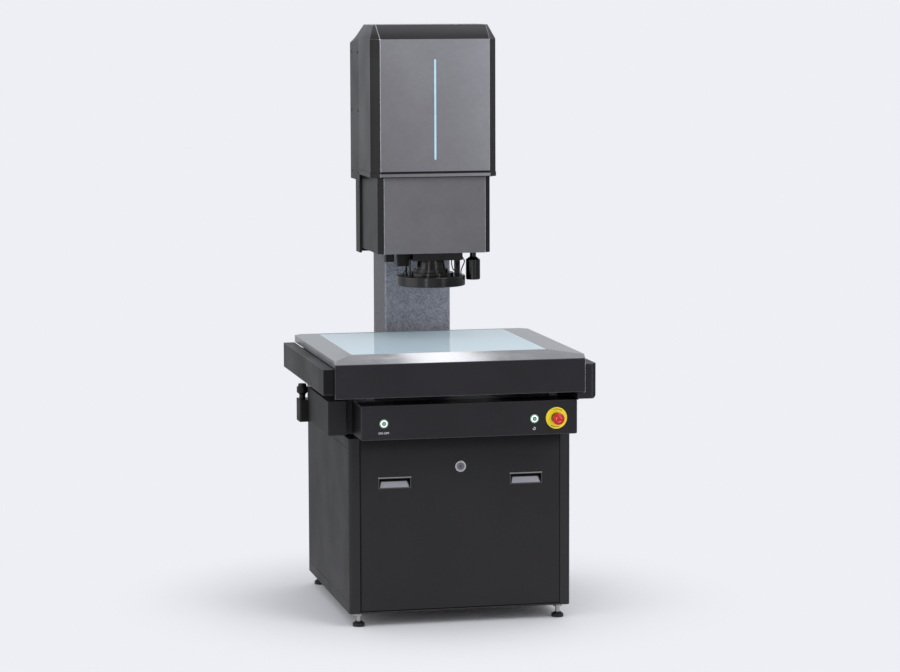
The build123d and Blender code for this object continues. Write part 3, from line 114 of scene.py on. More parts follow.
# The camera fitted to the photograph: place in millimetres, turns in degrees
CAMERA_PLACE = (-1813.9, -8466.3, 1763.5)
CAMERA_YAW = -12.3
CAMERA_TILT = 83.7
CAMERA_ROLL = -0.2
CAMERA_LENS = 120.49
CAMERA_SHIFT_X = 0.0052
CAMERA_SHIFT_Y = -0.0127

# Place, target and size of each lamp in metres from the cabinet's middle, and its power in watts
LAMPS = {
    "key": ((3.2, -4.6, 5.0), (0, -0.1, 0.7), (3.2, 3.2), 97),
    "left_wall": ((-5.2, -0.9, 2.3), (0, 0, 0.9), (5.0, 4.0), 62),
    "ceiling_strip": ((0.50, -0.70, 3.4), (0.50, -0.66, 0.8), (0.26, 2.2), 3.0),
    "left_strip": ((-2.6, -5.2, 1.5), (0, 0, 1.0), (0.35, 2.2), 14),
    "right_strip": ((3.0, -5.0, 1.5), (0, 0, 1.0), (0.35, 2.2), 12),
}

# Floor in metres: its size and height, and the distances over which its own light takes over,
# as the camera sees it, as the machine mirrors it, and towards the darker right
FLOOR_HALF = 40.0
FLOOR_Z = -0.0004
SEEN_FADE = (0.35, 1.0)
MIRRORED_FADE = (0.45, 1.3)
RIGHT_FADE = (0.4, 2.5)


# Camera, light and floor
def new_object(name, data):
    """An object that is linked into the scene."""
    ob = bpy.data.objects.new(name, data)
    bpy.context.scene.collection.objects.link(ob)
    return ob


def add_camera():
    """The camera that sees the machine as the photograph does."""
    data = bpy.data.cameras.new("camera")
    data.sensor_width = 36
    data.lens = CAMERA_LENS
    data.shift_x = CAMERA_SHIFT_X
    data.shift_y = CAMERA_SHIFT_Y
    data.clip_end = 200
    ob = new_object("camera", data)
    turn = (
        Matrix.Rotation(math.radians(CAMERA_YAW), 4, "Z")
        @ Matrix.Rotation(math.radians(CAMERA_TILT), 4, "X")
        @ Matrix.Rotation(math.radians(CAMERA_ROLL), 4, "Z")
    )
    ob.matrix_world = Matrix.Translation(at(*CAMERA_PLACE)) @ turn
    bpy.context.scene.camera = ob


def add_area(name, place, target, size, power):
    """A rectangular lamp that looks from its place to a target."""
    data = bpy.data.lights.new(name, "AREA")
    data.shape = "RECTANGLE"
    data.size, data.size_y = size
    data.energy = power
    ob = new_object(name, data)
    ob.location = Vector(place) + MIDDLE * MM
    ob.rotation_euler = (Vector(target) - Vector(place)).to_track_quat("-Z", "Y").to_euler()


class Tree:
    """Short ways to add nodes to a material or world."""

    def __init__(self, owner):
        owner.use_nodes = True
        self.owner = owner
        self.tree = owner.node_tree
        self.tree.nodes.clear()

    def put(self, socket, value):
        """Link a socket to another one, or give it a constant."""
        if isinstance(value, bpy.types.NodeSocket):
            self.tree.links.new(value, socket)
        else:
            socket.default_value = value

    def add(self, kind, inputs=None, **settings):
        """A node with its settings and inputs."""
        made = self.tree.nodes.new("ShaderNode" + kind)
        for key, value in settings.items():
            setattr(made, key, value)
        for key, value in (inputs or {}).items():
            self.put(made.inputs[key], value)
        return made

    def math(self, operation, a, b=0.0, c=0.0):
        """One sum on numbers."""
        return self.add("Math", {0: a, 1: b, 2: c}, operation=operation).outputs[0]

    def ramp(self, value, low, high, to_low=0.0, to_high=1.0, smooth=True):
        """A value that goes from to_low to to_high as another goes from low to high."""
        made = self.add(
            "MapRange",
            {"Value": value, "From Min": low, "From Max": high, "To Min": to_low, "To Max": to_high},
            interpolation_type="SMOOTHSTEP" if smooth else "LINEAR",
        )
        return made.outputs[0]

    def mix(self, factor, a, b, blend="MIX"):
        """One colour blended into another."""
        made = self.add("Mix", data_type="RGBA", blend_type=blend)
        self.put(made.inputs[0], factor)
        self.put(made.inputs[6], a)
        self.put(made.inputs[7], b)
        return made.outputs[2]

    def shade(self, colour, tone):
        """A colour times a grey tone."""
        grey = self.add("CombineColor", {0: tone, 1: tone, 2: tone}).outputs[0]
        return self.mix(1.0, colour, grey, "MULTIPLY")

    def noise(self, where, scale, detail=3.0, rough=0.55):
        """Cloudy noise from 0 to 1."""
        made = self.add(
            "TexNoise", {"Vector": where, "Scale": scale, "Detail": detail, "Roughness": rough}
        )
        return made.outputs["Fac"]

    def cells(self, where, scale):
        """Three random values for each cell of a broken-up space."""
        made = self.add("TexVoronoi", {"Vector": where, "Scale": scale})
        return self.add("SeparateColor", {0: made.outputs["Color"]}).outputs

    def stretch(self, where, scale):
        """A place scaled along each axis."""
        return self.add("Mapping", {"Vector": where, "Scale": scale}).outputs[0]

    def split(self, vector):
        """The X, Y and Z sockets of a vector."""
        return self.add("SeparateXYZ", {0: vector}).outputs

    def length(self, across, up):
        """The length of an offset in two directions."""
        offset = self.add("CombineXYZ", {0: across, 1: up}).outputs[0]
        return self.add("VectorMath", {0: offset}, operation="LENGTH").outputs["Value"]

    def least(self, values):
        """The smallest of some values."""
        smallest, *others = values
        for value in others:
            smallest = self.math("MINIMUM", smallest, value)
        return smallest

    def facing(self):
        """The X, Y and Z sockets of the direction that a face looks in."""
        return self.split(self.add("NewGeometry").outputs["True Normal"])

    def mirrored(self, path):
        """A mask that is 1 for what is seen in a reflection or through glass."""
        return self.math("MAXIMUM", path["Is Glossy Ray"], path["Is Transmission Ray"])


def add_world():
    """A plain light all round, and a studio with a pale back for what the machine mirrors."""
    world = bpy.data.worlds.new("studio")
    bpy.context.scene.world = world
    t = Tree(world)
    path = t.add("LightPath").outputs
    way = t.split(t.add("TexCoord").outputs["Generated"])
    room = t.mix(t.ramp(way["Y"], -0.30, 0.20), ROOM_AHEAD, ROOM_BEHIND)
    room = t.mix(t.ramp(way["Z"], 0.50, 0.85), room, ROOM_ABOVE)
    colour = t.mix(t.mirrored(path), AMBIENT, room)
    colour = t.mix(path["Is Camera Ray"], colour, BACKDROP)
    shader = t.add("Background", {"Color": colour, "Strength": 1.0})
    t.add("OutputWorld", {"Surface": shader.outputs[0]})


def add_floor():
    """A pale floor that keeps the shadow near the machine and fades into the backdrop."""
    mesh = bpy.data.meshes.new("floor")
    signs = ((-1, -1), (1, -1), (1, 1), (-1, 1))
    corners = [(x * FLOOR_HALF, y * FLOOR_HALF, FLOOR_Z) for x, y in signs]
    mesh.from_pydata(corners, [], [(0, 1, 2, 3)])
    ob = new_object("floor", mesh)
    mat = bpy.data.materials.new("pale_floor")
    t = Tree(mat)
    where = t.add("TexCoord").outputs["Object"]
    path = t.add("LightPath").outputs
    spot = t.split(where)
    away = t.length(spot["X"], spot["Y"])
    tone = t.mix(t.noise(where, 1.3), srgb(250, 251, 255), srgb(252, 252, 255))
    lit = t.add("BsdfPrincipled", {"Base Color": tone, "Roughness": 0.75, "Specular IOR Level": 0.1})
    glow_tone = t.mix(t.ramp(spot["X"], *RIGHT_FADE), ROOM_LEFT, ROOM_AHEAD)
    glow_tone = t.mix(path["Is Camera Ray"], glow_tone, BACKDROP)
    glow = t.add("Emission", {"Color": glow_tone, "Strength": 1.0})
    far_seen = t.math("MULTIPLY", t.ramp(away, *SEEN_FADE), path["Is Camera Ray"])
    far_mirrored = t.math("MULTIPLY", t.ramp(away, *MIRRORED_FADE), t.mirrored(path))
    share = t.math("MAXIMUM", far_seen, far_mirrored)
    blend = t.add("MixShader", {0: share, 1: lit.outputs[0], 2: glow.outputs[0]})
    t.add("OutputMaterial", {"Surface": blend.outputs[0]})
    mesh.materials.append(mat)


bpy.context.scene.view_settings.view_transform = "Standard"
add_camera()
add_world()
for lamp_name, lamp in LAMPS.items():
    add_area(lamp_name, *lamp)
add_floor()


# Materials
def new_material(name):
    """The tree of a new material, and the place that it shades, in metres."""
    t = Tree(bpy.data.materials.new(name))
    return t, t.add("TexCoord").outputs["Object"]


def finish_material(t, **inputs):
    """Give the shader its inputs, by their short names, and return the material."""
    names = {
        "colour": "Base Color", "rough": "Roughness", "metal": "Metallic", "normal": "Normal",
        "spec": "Specular IOR Level", "glow": "Emission Color", "glow_power": "Emission Strength",
        "transmission": "Transmission Weight", "ior": "IOR",
    }
    shader = t.add("BsdfPrincipled", {names[key]: value for key, value in inputs.items()})
    t.add("OutputMaterial", {"Surface": shader.outputs[0]})
    return t.owner


def round_edges(t, radius):
    """A normal that rounds the edges off with a radius."""
    return t.add("Bevel", {"Radius": radius}, samples=4).outputs[0]


def edge_mask(t, rounded):
    """A mask that is 1 along the edges that a normal rounds off."""
    flat = t.add("NewGeometry").outputs["Normal"]
    along = t.add("VectorMath", {0: rounded, 1: flat}, operation="DOT_PRODUCT").outputs["Value"]
    return t.ramp(along, 0.999, 0.93)


def bumped(t, normal, grain, depth, strength=1.0):
    """A normal with a fine bump on it."""
    inputs = {"Strength": strength, "Distance": depth, "Height": grain, "Normal": normal}
    return t.add("Bump", inputs).outputs[0]


def shade_by_facing(t, front, side, other, top=None):
    """One tone for faces that look to the front, one for the sides and one for the rest: darker
    copies of a paint for the sides and the rest, painted shade by the way a face looks.
    """
    face = t.facing()
    looks_front = t.ramp(face["Y"], -0.93, -0.97)
    looks_side = t.ramp(t.math("ABSOLUTE", face["X"]), 0.93, 0.97)
    colour = t.mix(looks_side, other, side)
    colour = t.mix(looks_front, colour, front)
    if top is not None:
        colour = t.mix(t.ramp(face["Z"], 0.25, 0.4), colour, top)
    return colour


def climb(t, spot, span_x, span_z):
    """A value that goes from 0 to 1 over a span of X, a span of Z, or both together."""
    if span_x is None:
        return t.ramp(spot["Z"], *span_z)
    if span_z is None:
        return t.ramp(spot["X"], *span_x)
    share_x = t.ramp(spot["X"], *span_x, smooth=False)
    share_z = t.ramp(spot["Z"], *span_z, smooth=False)
    return t.math("MULTIPLY_ADD", share_x, 0.55, t.math("MULTIPLY", share_z, 0.45))


def lines_mask(t, spot, lines):
    """A mask on thin lines: each has an axis, a place and half a width in metres, and a strength."""
    mask = 0.0
    for axis, place, half, power in lines:
        off = t.math("ABSOLUTE", t.math("SUBTRACT", spot[axis], place))
        mask = t.math("MAXIMUM", mask, t.math("MULTIPLY", t.ramp(off, half, half * 0.5), power))
    return mask


def paint(
    name, colour, rough, spec, grain, depth, side=None, other=None, top=None, shade_top_low=None,
    painted_shading_rise=None, bend=0.0014, highlight_rim=0.0, glints=(), joints=(), joints_below=None,
):
    """Sprayed paint over sheet metal. grain is the size of its texture in millimetres.

    colour is the tone of the front, or of every face if side and other aren't given, and top is
    the tone of faces that look up. side, other and top are painted shade: darker copies of the
    paint by the way a face looks. With rise, colour climbs to another tone: a painted highlight
    where it climbs paler, a painted shadow where it climbs darker. With shade_top_low, top climbs
    from a darker tone, painted shade. rim lightens all folds and glints are bright stretches of
    folds, both painted highlights, and joints are dark lines, which joints_below keeps under a
    height.
    """
    mottle = 0.06
    wear = 0.25
    t, where = new_material(name)
    spot = t.split(where)
    broad = t.noise(where, 4.5, 4.0)
    fine = t.noise(where, 1000 / grain, 2.0)
    dust = t.noise(where, 60, 6.0, 0.7)
    rounded = round_edges(t, bend)
    edge = edge_mask(t, rounded)
    base = colour
    # A climb to another tone: painted light where it is paler, painted shadow where it is darker.
    if painted_shading_rise is not None:
        span_x, span_z, shading_tone = painted_shading_rise
        base = t.mix(climb(t, spot, span_x, span_z), colour, shading_tone)
    # The top climbs from a darker tone: painted shade.
    if shade_top_low is not None:
        low, high, shaded_low_colour = shade_top_low
        top = t.mix(t.ramp(spot["Z"], low, high), shaded_low_colour, top)
    # Darker copies for sides, other faces and tops: painted shade.
    if side is not None:
        base = shade_by_facing(t, base, side, other, top)
    tone = t.ramp(broad, 0.3, 0.7, 1 - mottle, 1 + mottle)
    dusty = t.ramp(dust, 0.35, 0.75, 1 - mottle * 0.5, 1 + mottle * 0.7)
    toned = t.shade(base, t.math("MULTIPLY", tone, dusty))
    worn = t.math("MULTIPLY", edge, t.ramp(dust, 0.42, 0.6))
    toned = t.mix(t.math("MULTIPLY", worn, wear), toned, scaled(colour, 2.6))
    # A pale tone along every fold: painted highlight.
    if highlight_rim > 0:
        toned = t.mix(t.math("MULTIPLY", edge, highlight_rim), toned, RIM_HIGHLIGHT)
    # Bright stretches of folds: painted highlights.
    if glints:
        lit = t.math("MULTIPLY", t.ramp(edge, 0.05, 0.5), lines_mask(t, spot, glints))
        toned = t.mix(lit, toned, GLINT)
    if joints:
        dark = lines_mask(t, spot, joints)
        if joints_below is not None:
            under = t.ramp(spot["Z"], joints_below + 0.001, joints_below)
            dark = t.math("MULTIPLY", dark, under)
        toned = t.mix(dark, toned, JOINT)
    return finish_material(
        t,
        colour=toned,
        rough=t.ramp(broad, 0.25, 0.75, rough - 0.05, rough + 0.07),
        spec=spec,
        normal=bumped(t, rounded, fine, depth),
    )


def metal(name, colour, rough, lines, line_size, depth, mottle=0.08):
    """Bare or plated metal. lines is the direction of its tool marks, as a scale along each axis."""
    t, where = new_material(name)
    marks = t.noise(t.stretch(where, tuple(1000 / line_size * a for a in lines)), 1.0, 2.0)
    broad = t.noise(where, 9.0, 5.0)
    scuff = t.noise(t.stretch(where, tuple(260 * a for a in lines)), 1.0, 4.0, 0.7)
    rounded = round_edges(t, 0.0008)
    edge = edge_mask(t, rounded)
    tone = t.ramp(broad, 0.25, 0.75, 1 - mottle, 1 + mottle)
    tone = t.math("MULTIPLY", tone, t.ramp(marks, 0.2, 0.8, 0.94, 1.05))
    toned = t.shade(colour, tone)
    return finish_material(
        t,
        colour=t.mix(t.math("MULTIPLY", edge, 0.5), toned, scaled(colour, 1.2)),
        rough=t.ramp(scuff, 0.3, 0.7, rough - 0.06, rough + 0.08),
        metal=1.0,
        normal=bumped(t, rounded, marks, depth),
    )


# The front margin of the stage's plate: half the glass in metres, how far the mitres run forward
# for each metre sideways, and the normal that the margin mirrors the room with
GLASS_HALF = 0.2785
MITRE_SLANT = 1.97
MARGIN_NORMAL = (0.0, -0.667, 0.745)


def plate_metal(name, colour):
    """Ground steel with mitred grain: its front margin dips to the front, the sides lie flat."""
    t, where = new_material(name)
    spot = t.split(where)
    glass_front = at(GLASS_MIDDLE_X, GLASS_FRONT, 0)
    aside = t.math("ABSOLUTE", t.math("SUBTRACT", spot["X"], glass_front.x))
    aside = t.math("MAXIMUM", t.math("SUBTRACT", aside, GLASS_HALF), 0.0)
    ahead = t.math("SUBTRACT", glass_front.y, spot["Y"])
    past_mitre = t.math("SUBTRACT", ahead, t.math("MULTIPLY", aside, MITRE_SLANT))
    front = t.ramp(past_mitre, 0.0, 0.0015)
    across = t.noise(t.stretch(where, (60, 3600, 3600)), 1.0, 2.0)
    along = t.noise(t.stretch(where, (3600, 60, 3600)), 1.0, 2.0)
    rest = t.math("SUBTRACT", 1.0, front)
    marks = t.math("ADD", t.math("MULTIPLY", across, front), t.math("MULTIPLY", along, rest))
    face = t.facing()
    looks_up = t.ramp(face["Z"], 0.5, 0.6)
    looks_front = t.ramp(face["Y"], -0.8, -0.9)
    leaning = t.math("MULTIPLY", front, t.math("MAXIMUM", looks_up, looks_front))
    dip = t.add("Mix", data_type="VECTOR")
    t.put(dip.inputs[0], t.math("MULTIPLY", leaning, 0.9))
    t.put(dip.inputs[4], bumped(t, round_edges(t, 0.0010), marks, 0.000010))
    t.put(dip.inputs[5], MARGIN_NORMAL)
    leaned = t.add("VectorMath", {0: dip.outputs[1]}, operation="NORMALIZE").outputs[0]
    broad = t.noise(where, 9.0, 5.0)
    speck = t.noise(where, 700, 3.0)
    tone = t.ramp(broad, 0.25, 0.75, 0.94, 1.05)
    tone = t.math("MULTIPLY", tone, t.ramp(marks, 0.2, 0.8, 0.94, 1.05))
    tone = t.math("MULTIPLY", tone, t.ramp(speck, 0.3, 0.7, 0.93, 1.04))
    smoother = t.ramp(front, 0.0, 1.0, 0.31, 0.12)
    return finish_material(
        t,
        colour=t.shade(colour, tone),
        rough=t.math("ADD", smoother, t.ramp(broad, 0.3, 0.7, -0.02, 0.04)),
        metal=1.0,
        normal=leaned,
    )


def plastic(name, colour, rough, spec, grain=0.35, depth=0.00002):
    """Moulded plastic, rubber or ink. grain is the size of its texture in millimetres."""
    mottle = 0.05
    t, where = new_material(name)
    fine = t.noise(where, 1000 / grain, 2.0)
    broad = t.noise(where, 30, 4.0)
    rounded = round_edges(t, 0.0007)
    edge = edge_mask(t, rounded)
    toned = t.shade(colour, t.ramp(broad, 0.3, 0.7, 1 - mottle, 1 + mottle))
    return finish_material(
        t,
        colour=t.mix(t.math("MULTIPLY", edge, 0.25), toned, scaled(colour, 1.8)),
        rough=t.ramp(broad, 0.3, 0.7, rough - 0.05, rough + 0.06),
        spec=spec,
        normal=bumped(t, rounded, fine, depth),
    )


def granite(name, pale, dark):
    """Fine-grained grey granite, ground and lapped: mixed mineral grains with a soft polish."""
    t, where = new_material(name)
    crystal = t.cells(where, 420)
    flake = t.cells(where, 900)
    clouds = t.noise(where, 46, 5.0, 0.65)
    base = t.mix(t.ramp(crystal[0], 0.15, 0.85), dark, pale)
    base = t.mix(t.ramp(clouds, 0.38, 0.66, 0.0, 0.55), base, scaled(pale, 1.12))
    base = t.mix(t.ramp(flake[1], 0.90, 0.94, 0.0, 0.5), base, scaled(pale, 1.7))
    base = t.mix(t.ramp(flake[2], 0.88, 0.92, 0.0, 0.65), base, scaled(dark, 0.45))
    rounded = round_edges(t, 0.002)
    edge = edge_mask(t, rounded)
    base = t.mix(t.math("MULTIPLY", edge, 0.5), base, scaled(pale, 1.5))
    # Faces that look to the sides are pulled towards a darker tone: painted shade.
    shaded_side = t.ramp(t.math("ABSOLUTE", t.facing()["X"]), 0.93, 0.97)
    return finish_material(
        t,
        colour=t.mix(t.math("MULTIPLY", shaded_side, 0.8), base, scaled(dark, 0.10)),
        rough=t.ramp(crystal[2], 0.0, 1.0, 0.30, 0.42),
        spec=0.35,
        normal=bumped(t, rounded, crystal[1], 0.00001, 0.4),
    )


def stage_glass(name):
    """Pale glass with greener edges, nearly opaque: its pale aqua diffuse colour is a painted
    reflection of the bright room, over the glass's own tint.
    """
    t, where = new_material(name)
    smear = t.noise(where, 14, 5.0, 0.6)
    rounded = round_edges(t, 0.0014)
    return finish_material(
        t,
        colour=t.mix(edge_mask(t, rounded), srgb(218, 240, 250), srgb(96, 158, 152)),
        rough=t.ramp(smear, 0.3, 0.8, 0.02, 0.07),
        transmission=0.04,
        ior=1.15,
        normal=bumped(t, rounded, smear, 0.000002, 0.3),
    )


def distance_to(t, where, centres):
    """Distance in metres from the nearest of some X and Z centres."""
    spot = t.split(where)
    return t.least([
        t.length(t.math("SUBTRACT", spot["X"], x), t.math("SUBTRACT", spot["Z"], z))
        for x, z in centres
    ])


def lit_cap_material(name, centres):
    """A white glowing cap with a green ring round a grey pad, about the caps' own centres."""
    t, where = new_material(name)
    near = distance_to(t, where, centres)
    lit = t.ramp(near, 0.0056, 0.0066)
    pad = t.ramp(near, 0.0034, 0.0028)
    fine = t.noise(where, 2500, 2.0)
    tint = t.mix(pad, srgb(38, 92, 62), srgb(150, 172, 160))
    return finish_material(
        t,
        colour=t.mix(lit, tint, srgb(222, 252, 234)),
        rough=t.ramp(fine, 0.3, 0.7, 0.22, 0.34),
        glow=t.mix(lit, (0.01, 0.04, 0.02, 1), (0.80, 1.0, 0.88, 1)),
        glow_power=0.7,
        normal=bumped(t, round_edges(t, 0.0004), fine, 0.00001),
    )


def bezel_material(name, centres):
    """A plated bezel that takes the cap's green light on its outer slope."""
    t, where = new_material(name)
    outer = t.ramp(distance_to(t, where, centres), 0.0112, 0.0126)
    marks = t.noise(t.stretch(where, (3300, 20000, 3300)), 1.0, 2.0)
    return finish_material(
        t,
        colour=t.mix(outer, srgb(206, 222, 212), srgb(52, 96, 70)),
        rough=t.ramp(marks, 0.3, 0.7, 0.22, 0.32),
        metal=t.ramp(outer, 0.0, 1.0, 0.85, 0.3),
        normal=bumped(t, round_edges(t, 0.0006), marks, 0.000006),
    )


def lock_material(name, centre, core_radius, core, ring, rough):
    """Plated metal with a darker core inside a circle about a point on an X and Z face."""
    t, where = new_material(name)
    away = distance_to(t, where, [(centre.x, centre.z)])
    outside = t.ramp(away, core_radius - 0.0004, core_radius + 0.0004)
    fine = t.noise(where, 2200, 3.0)
    stain = t.ramp(t.noise(where, 160, 4.0), 0.3, 0.8, 0.0, 0.2)
    return finish_material(
        t,
        colour=t.mix(stain, t.mix(outside, core, ring), scaled(core, 0.6)),
        rough=t.ramp(outside, 0.0, 1.0, rough + 0.1, rough),
        metal=t.ramp(outside, 0.0, 1.0, 0.35, 0.9),
        normal=bumped(t, round_edges(t, 0.0004), fine, 0.00001),
    )


def foot_material(name, split, rubber, plating):
    """Rubber below a height and plated metal above it."""
    t, where = new_material(name)
    above = t.ramp(t.split(where)["Z"], split - 0.0002, split + 0.0002)
    fine = t.noise(where, 1800, 3.0)
    stain = t.ramp(t.noise(where, 90, 4.0), 0.4, 0.8, 0.0, 0.25)
    return finish_material(
        t,
        colour=t.mix(stain, t.mix(above, rubber, plating), scaled(rubber, 3.0)),
        rough=t.ramp(above, 0.0, 1.0, 0.6, 0.28),
        metal=t.ramp(above, 0.0, 1.0),
        normal=bumped(t, round_edges(t, 0.0006), fine, 0.00003, 0.6),
    )


# A pull cup's pale scoop in metres, the part of its inside that is painted lit, while the rest
# of the inside is painted in shade under the lip: its top, half its width there and how much
# wider it gets for each metre down, and the stretch over which the frame's pale top line, a
# painted highlight, comes up
CUP_SCOOP_TOP = 0.4085
CUP_SCOOP_HALF = 0.0365
CUP_SCOOP_FLARE = 0.30
CUP_TOP_HIGHLIGHT = (0.4188, 0.4200)


def cup_material(name, centres, face_y):
    """A moulded cup: dark frame with a pale top line, a painted highlight, and a pale scoop that
    widens downwards, painted light, with painted shade on the rest of its inside.
    """
    t, where = new_material(name)
    spot = t.split(where)
    inside = t.ramp(spot["Y"], face_y, face_y + 0.0003)
    low = t.ramp(spot["Z"], CUP_SCOOP_TOP + 0.0012, CUP_SCOOP_TOP - 0.0012)
    aside = t.least([
        t.math("ABSOLUTE", t.math("SUBTRACT", spot["X"], centre)) for centre in centres
    ])
    below = t.math("SUBTRACT", CUP_SCOOP_TOP, spot["Z"])
    reach = t.math("MULTIPLY_ADD", below, CUP_SCOOP_FLARE, CUP_SCOOP_HALF)
    within = t.ramp(t.math("SUBTRACT", aside, reach), 0.0006, -0.0006)
    lit_scoop = t.math("MULTIPLY", inside, t.math("MULTIPLY", low, within))
    fine = t.noise(where, 1500, 3.0)
    scoop = t.mix(t.noise(where, 220, 3.0), srgb(150, 150, 157), srgb(170, 170, 178))
    # Dark everywhere but the scoop: the frame's own dark, and painted shade inside under the lip.
    colour = t.mix(lit_scoop, srgb(12, 12, 13), scoop)
    # A pale line along the frame's top: painted highlight.
    top_highlight = t.ramp(spot["Z"], *CUP_TOP_HIGHLIGHT, 0.10, 0.42)
    on_frame = t.math("MULTIPLY", t.math("SUBTRACT", 1.0, inside), top_highlight)
    return finish_material(
        t,
        colour=t.mix(on_frame, colour, srgb(196, 196, 196)),
        rough=t.ramp(fine, 0.3, 0.7, 0.38, 0.5),
        spec=0.35,
        normal=bumped(t, round_edges(t, 0.0006), fine, 0.00003),
    )


# Places in metres that the paints follow: the right post, lightened by a painted highlight,
# the head front's painted highlight, which climbs to a paler tone, its roof's slope, darkened by
# painted shade towards its low end, and the fold under it, the roof's top and the hem's fold,
# which carry painted highlights, and the joints
POST_HIGHLIGHT_X = (0.30, 0.325)
FRONT_HIGHLIGHT_X = (-0.13, 0.19)
FRONT_HIGHLIGHT_Z = (1.25, 1.62)
ROOF_SHADE_Z = (1.630, 1.668)
ROOF_TOP_Z = 1.6710
ROOF_FOLD_Z = 1.628
HEM_FOLD_Z = 1.2480
HEM_TOP_JOINT_Z = 1.2492
HEM_LOW_JOINT_Z = 1.2342
FOOT_PAD_TOP = 0.0141
DOOR_LOW, DOOR_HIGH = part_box("access_panel")
APRON_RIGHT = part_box("table_apron")[1][0]
CAP_CENTRES = [(at(x, 0, 0).x, SWITCH_Z * MM) for x in (POWER_X, RESET_X)]
CUP_CENTRES = [at(x, 0, 0).x for x in (-CUP_X, CUP_X)]

# Looks by the material slots of the CAD nodes
looks = {
    # The cabinet's sides take a darker tone, painted shade, its folds a pale tone, a painted
    # highlight, and its right post climbs to a paler tone, a painted highlight.
    "cabinet_paint": paint(
        "cabinet_black_painted_shading", BLACK_PAINT, 0.50, 0.3, 0.6, 0.00004, side=BLACK_SIDE_SHADED,
        other=BLACK_PAINT, highlight_rim=0.12, painted_shading_rise=(POST_HIGHLIGHT_X, None, srgb(44, 44, 45)),
    ),
    "panel_paint": paint("panel_black", BLACK_PAINT, 0.52, 0.25, 0.6, 0.00004),
    # The housing's sides and other faces take darker tones, painted shade, and a pale tone along its
    # folds and bright lines on the front's two upright folds are painted highlights.
    "cover_paint": paint(
        "cover_satin", HOUSING_FRONT, 0.42, 0.3, 0.4, 0.00002, side=HOUSING_SIDE,
        other=HOUSING_SHADED, bend=0.0026, highlight_rim=0.15,
        glints=(
            ("X", at(-HOUSING_FOLD_X, 0, 0).x, 0.0032, 0.75),
            ("X", at(HOUSING_FOLD_X, 0, 0).x, 0.0030, 0.6),
        ),
    ),
    # The apron's sides and other faces take darker tones, painted shade, and a pale tone along its
    # folds and a bright line on its right edge are painted highlights.
    "apron_paint": paint(
        "apron_painted_shading", srgb(36, 35, 39), 0.42, 0.3, 0.4, 0.00002, side=srgb(22, 21, 24),
        other=srgb(28, 27, 30), bend=0.0022, highlight_rim=0.30, glints=(("X", APRON_RIGHT, 0.0040, 0.55),),
    ),
    "granite": granite("grey_granite", srgb(154, 156, 166), srgb(108, 110, 120)),
    "plate_metal": plate_metal("brushed_plate", srgb(184, 185, 188)),
    "glass": stage_glass("stage_glass"),
    "black_anodised": plastic("black_anodised", srgb(5, 5, 6), 0.22, 0.7, 0.2, 0.000006),
    "machined": metal("milled_steel", srgb(120, 122, 126), 0.40, (1, 0.08, 1), 0.5, 0.00001),
    "steel": metal("ground_steel", srgb(150, 152, 156), 0.28, (0.06, 1, 1), 0.25, 0.000006),
    "zinc": metal("zinc_plate", srgb(170, 168, 160), 0.34, (1, 1, 1), 0.8, 0.000008, 0.16),
    "chrome": metal("bright_chrome", srgb(206, 207, 210), 0.16, (1, 1, 1), 1.5, 0.000002, 0.05),
    "cup_plastic": plastic("cup_grey", srgb(96, 95, 98), 0.4, 0.4),
    "black_plastic": plastic("moulded_black", srgb(15, 15, 16), 0.42, 0.4),
    "bezel_metal": bezel_material("bezel_nickel", CAP_CENTRES),
    "lit_cap": lit_cap_material("lit_cap", CAP_CENTRES),
    "warning_yellow": plastic("legend_yellow", srgb(250, 222, 44), 0.38, 0.4),
    "stop_red": plastic("stop_red", srgb(196, 26, 26), 0.28, 0.5),
    "foot_black": foot_material("foot", FOOT_PAD_TOP, srgb(24, 24, 25), srgb(188, 188, 186)),
    "motor_black": plastic("motor_black", srgb(30, 30, 32), 0.42, 0.4, 1.2, 0.00008),
    "device_grey": paint("device_grey", srgb(150, 152, 150), 0.5, 0.3, 0.5, 0.00004),
}
# The head's sides, other faces and top take darker tones, painted shade, and its roof slope darkens
# towards its low end, painted shade. Its front climbs to a paler tone to the right and upwards, a
# painted highlight, and a pale tone and bright lines along its folds are painted highlights. The
# joints are dark lines along its hem and the seam between its halves.
head_paint = paint(
    "head_painted_shading", COVER_FRONT, 0.36, 0.3, 0.4, 0.00002, side=COVER_SIDE_SHADED, other=COVER_SHADED,
    top=COVER_TOP_SHADED, shade_top_low=(*ROOF_SHADE_Z, COVER_SLOPE_SHADED),
    painted_shading_rise=(FRONT_HIGHLIGHT_X, FRONT_HIGHLIGHT_Z, COVER_FRONT_LIT), bend=0.003, highlight_rim=0.12,
    glints=(
        ("X", at(-HEAD_FOLD_X, 0, 0).x, 0.0036, 1.0),
        ("X", at(HEAD_FOLD_X, 0, 0).x, 0.0030, 0.5),
        ("Z", HEM_FOLD_Z, 0.0040, 0.35),
        ("Z", ROOF_TOP_Z, 0.0045, 1.0),
    ),
    joints=(
        ("Z", HEM_TOP_JOINT_Z, 0.0044, 1.0),
        ("Z", HEM_LOW_JOINT_Z, 0.0040, 1.0),
        ("Y", at(0, HEAD_SIDE_JOINT_Y, 0).y, 0.0075, 0.9),
    ),
    joints_below=ROOF_FOLD_Z,
)
back_paint = paint("back_cover_satin", HOUSING_SIDE, 0.42, 0.3, 0.4, 0.00002)

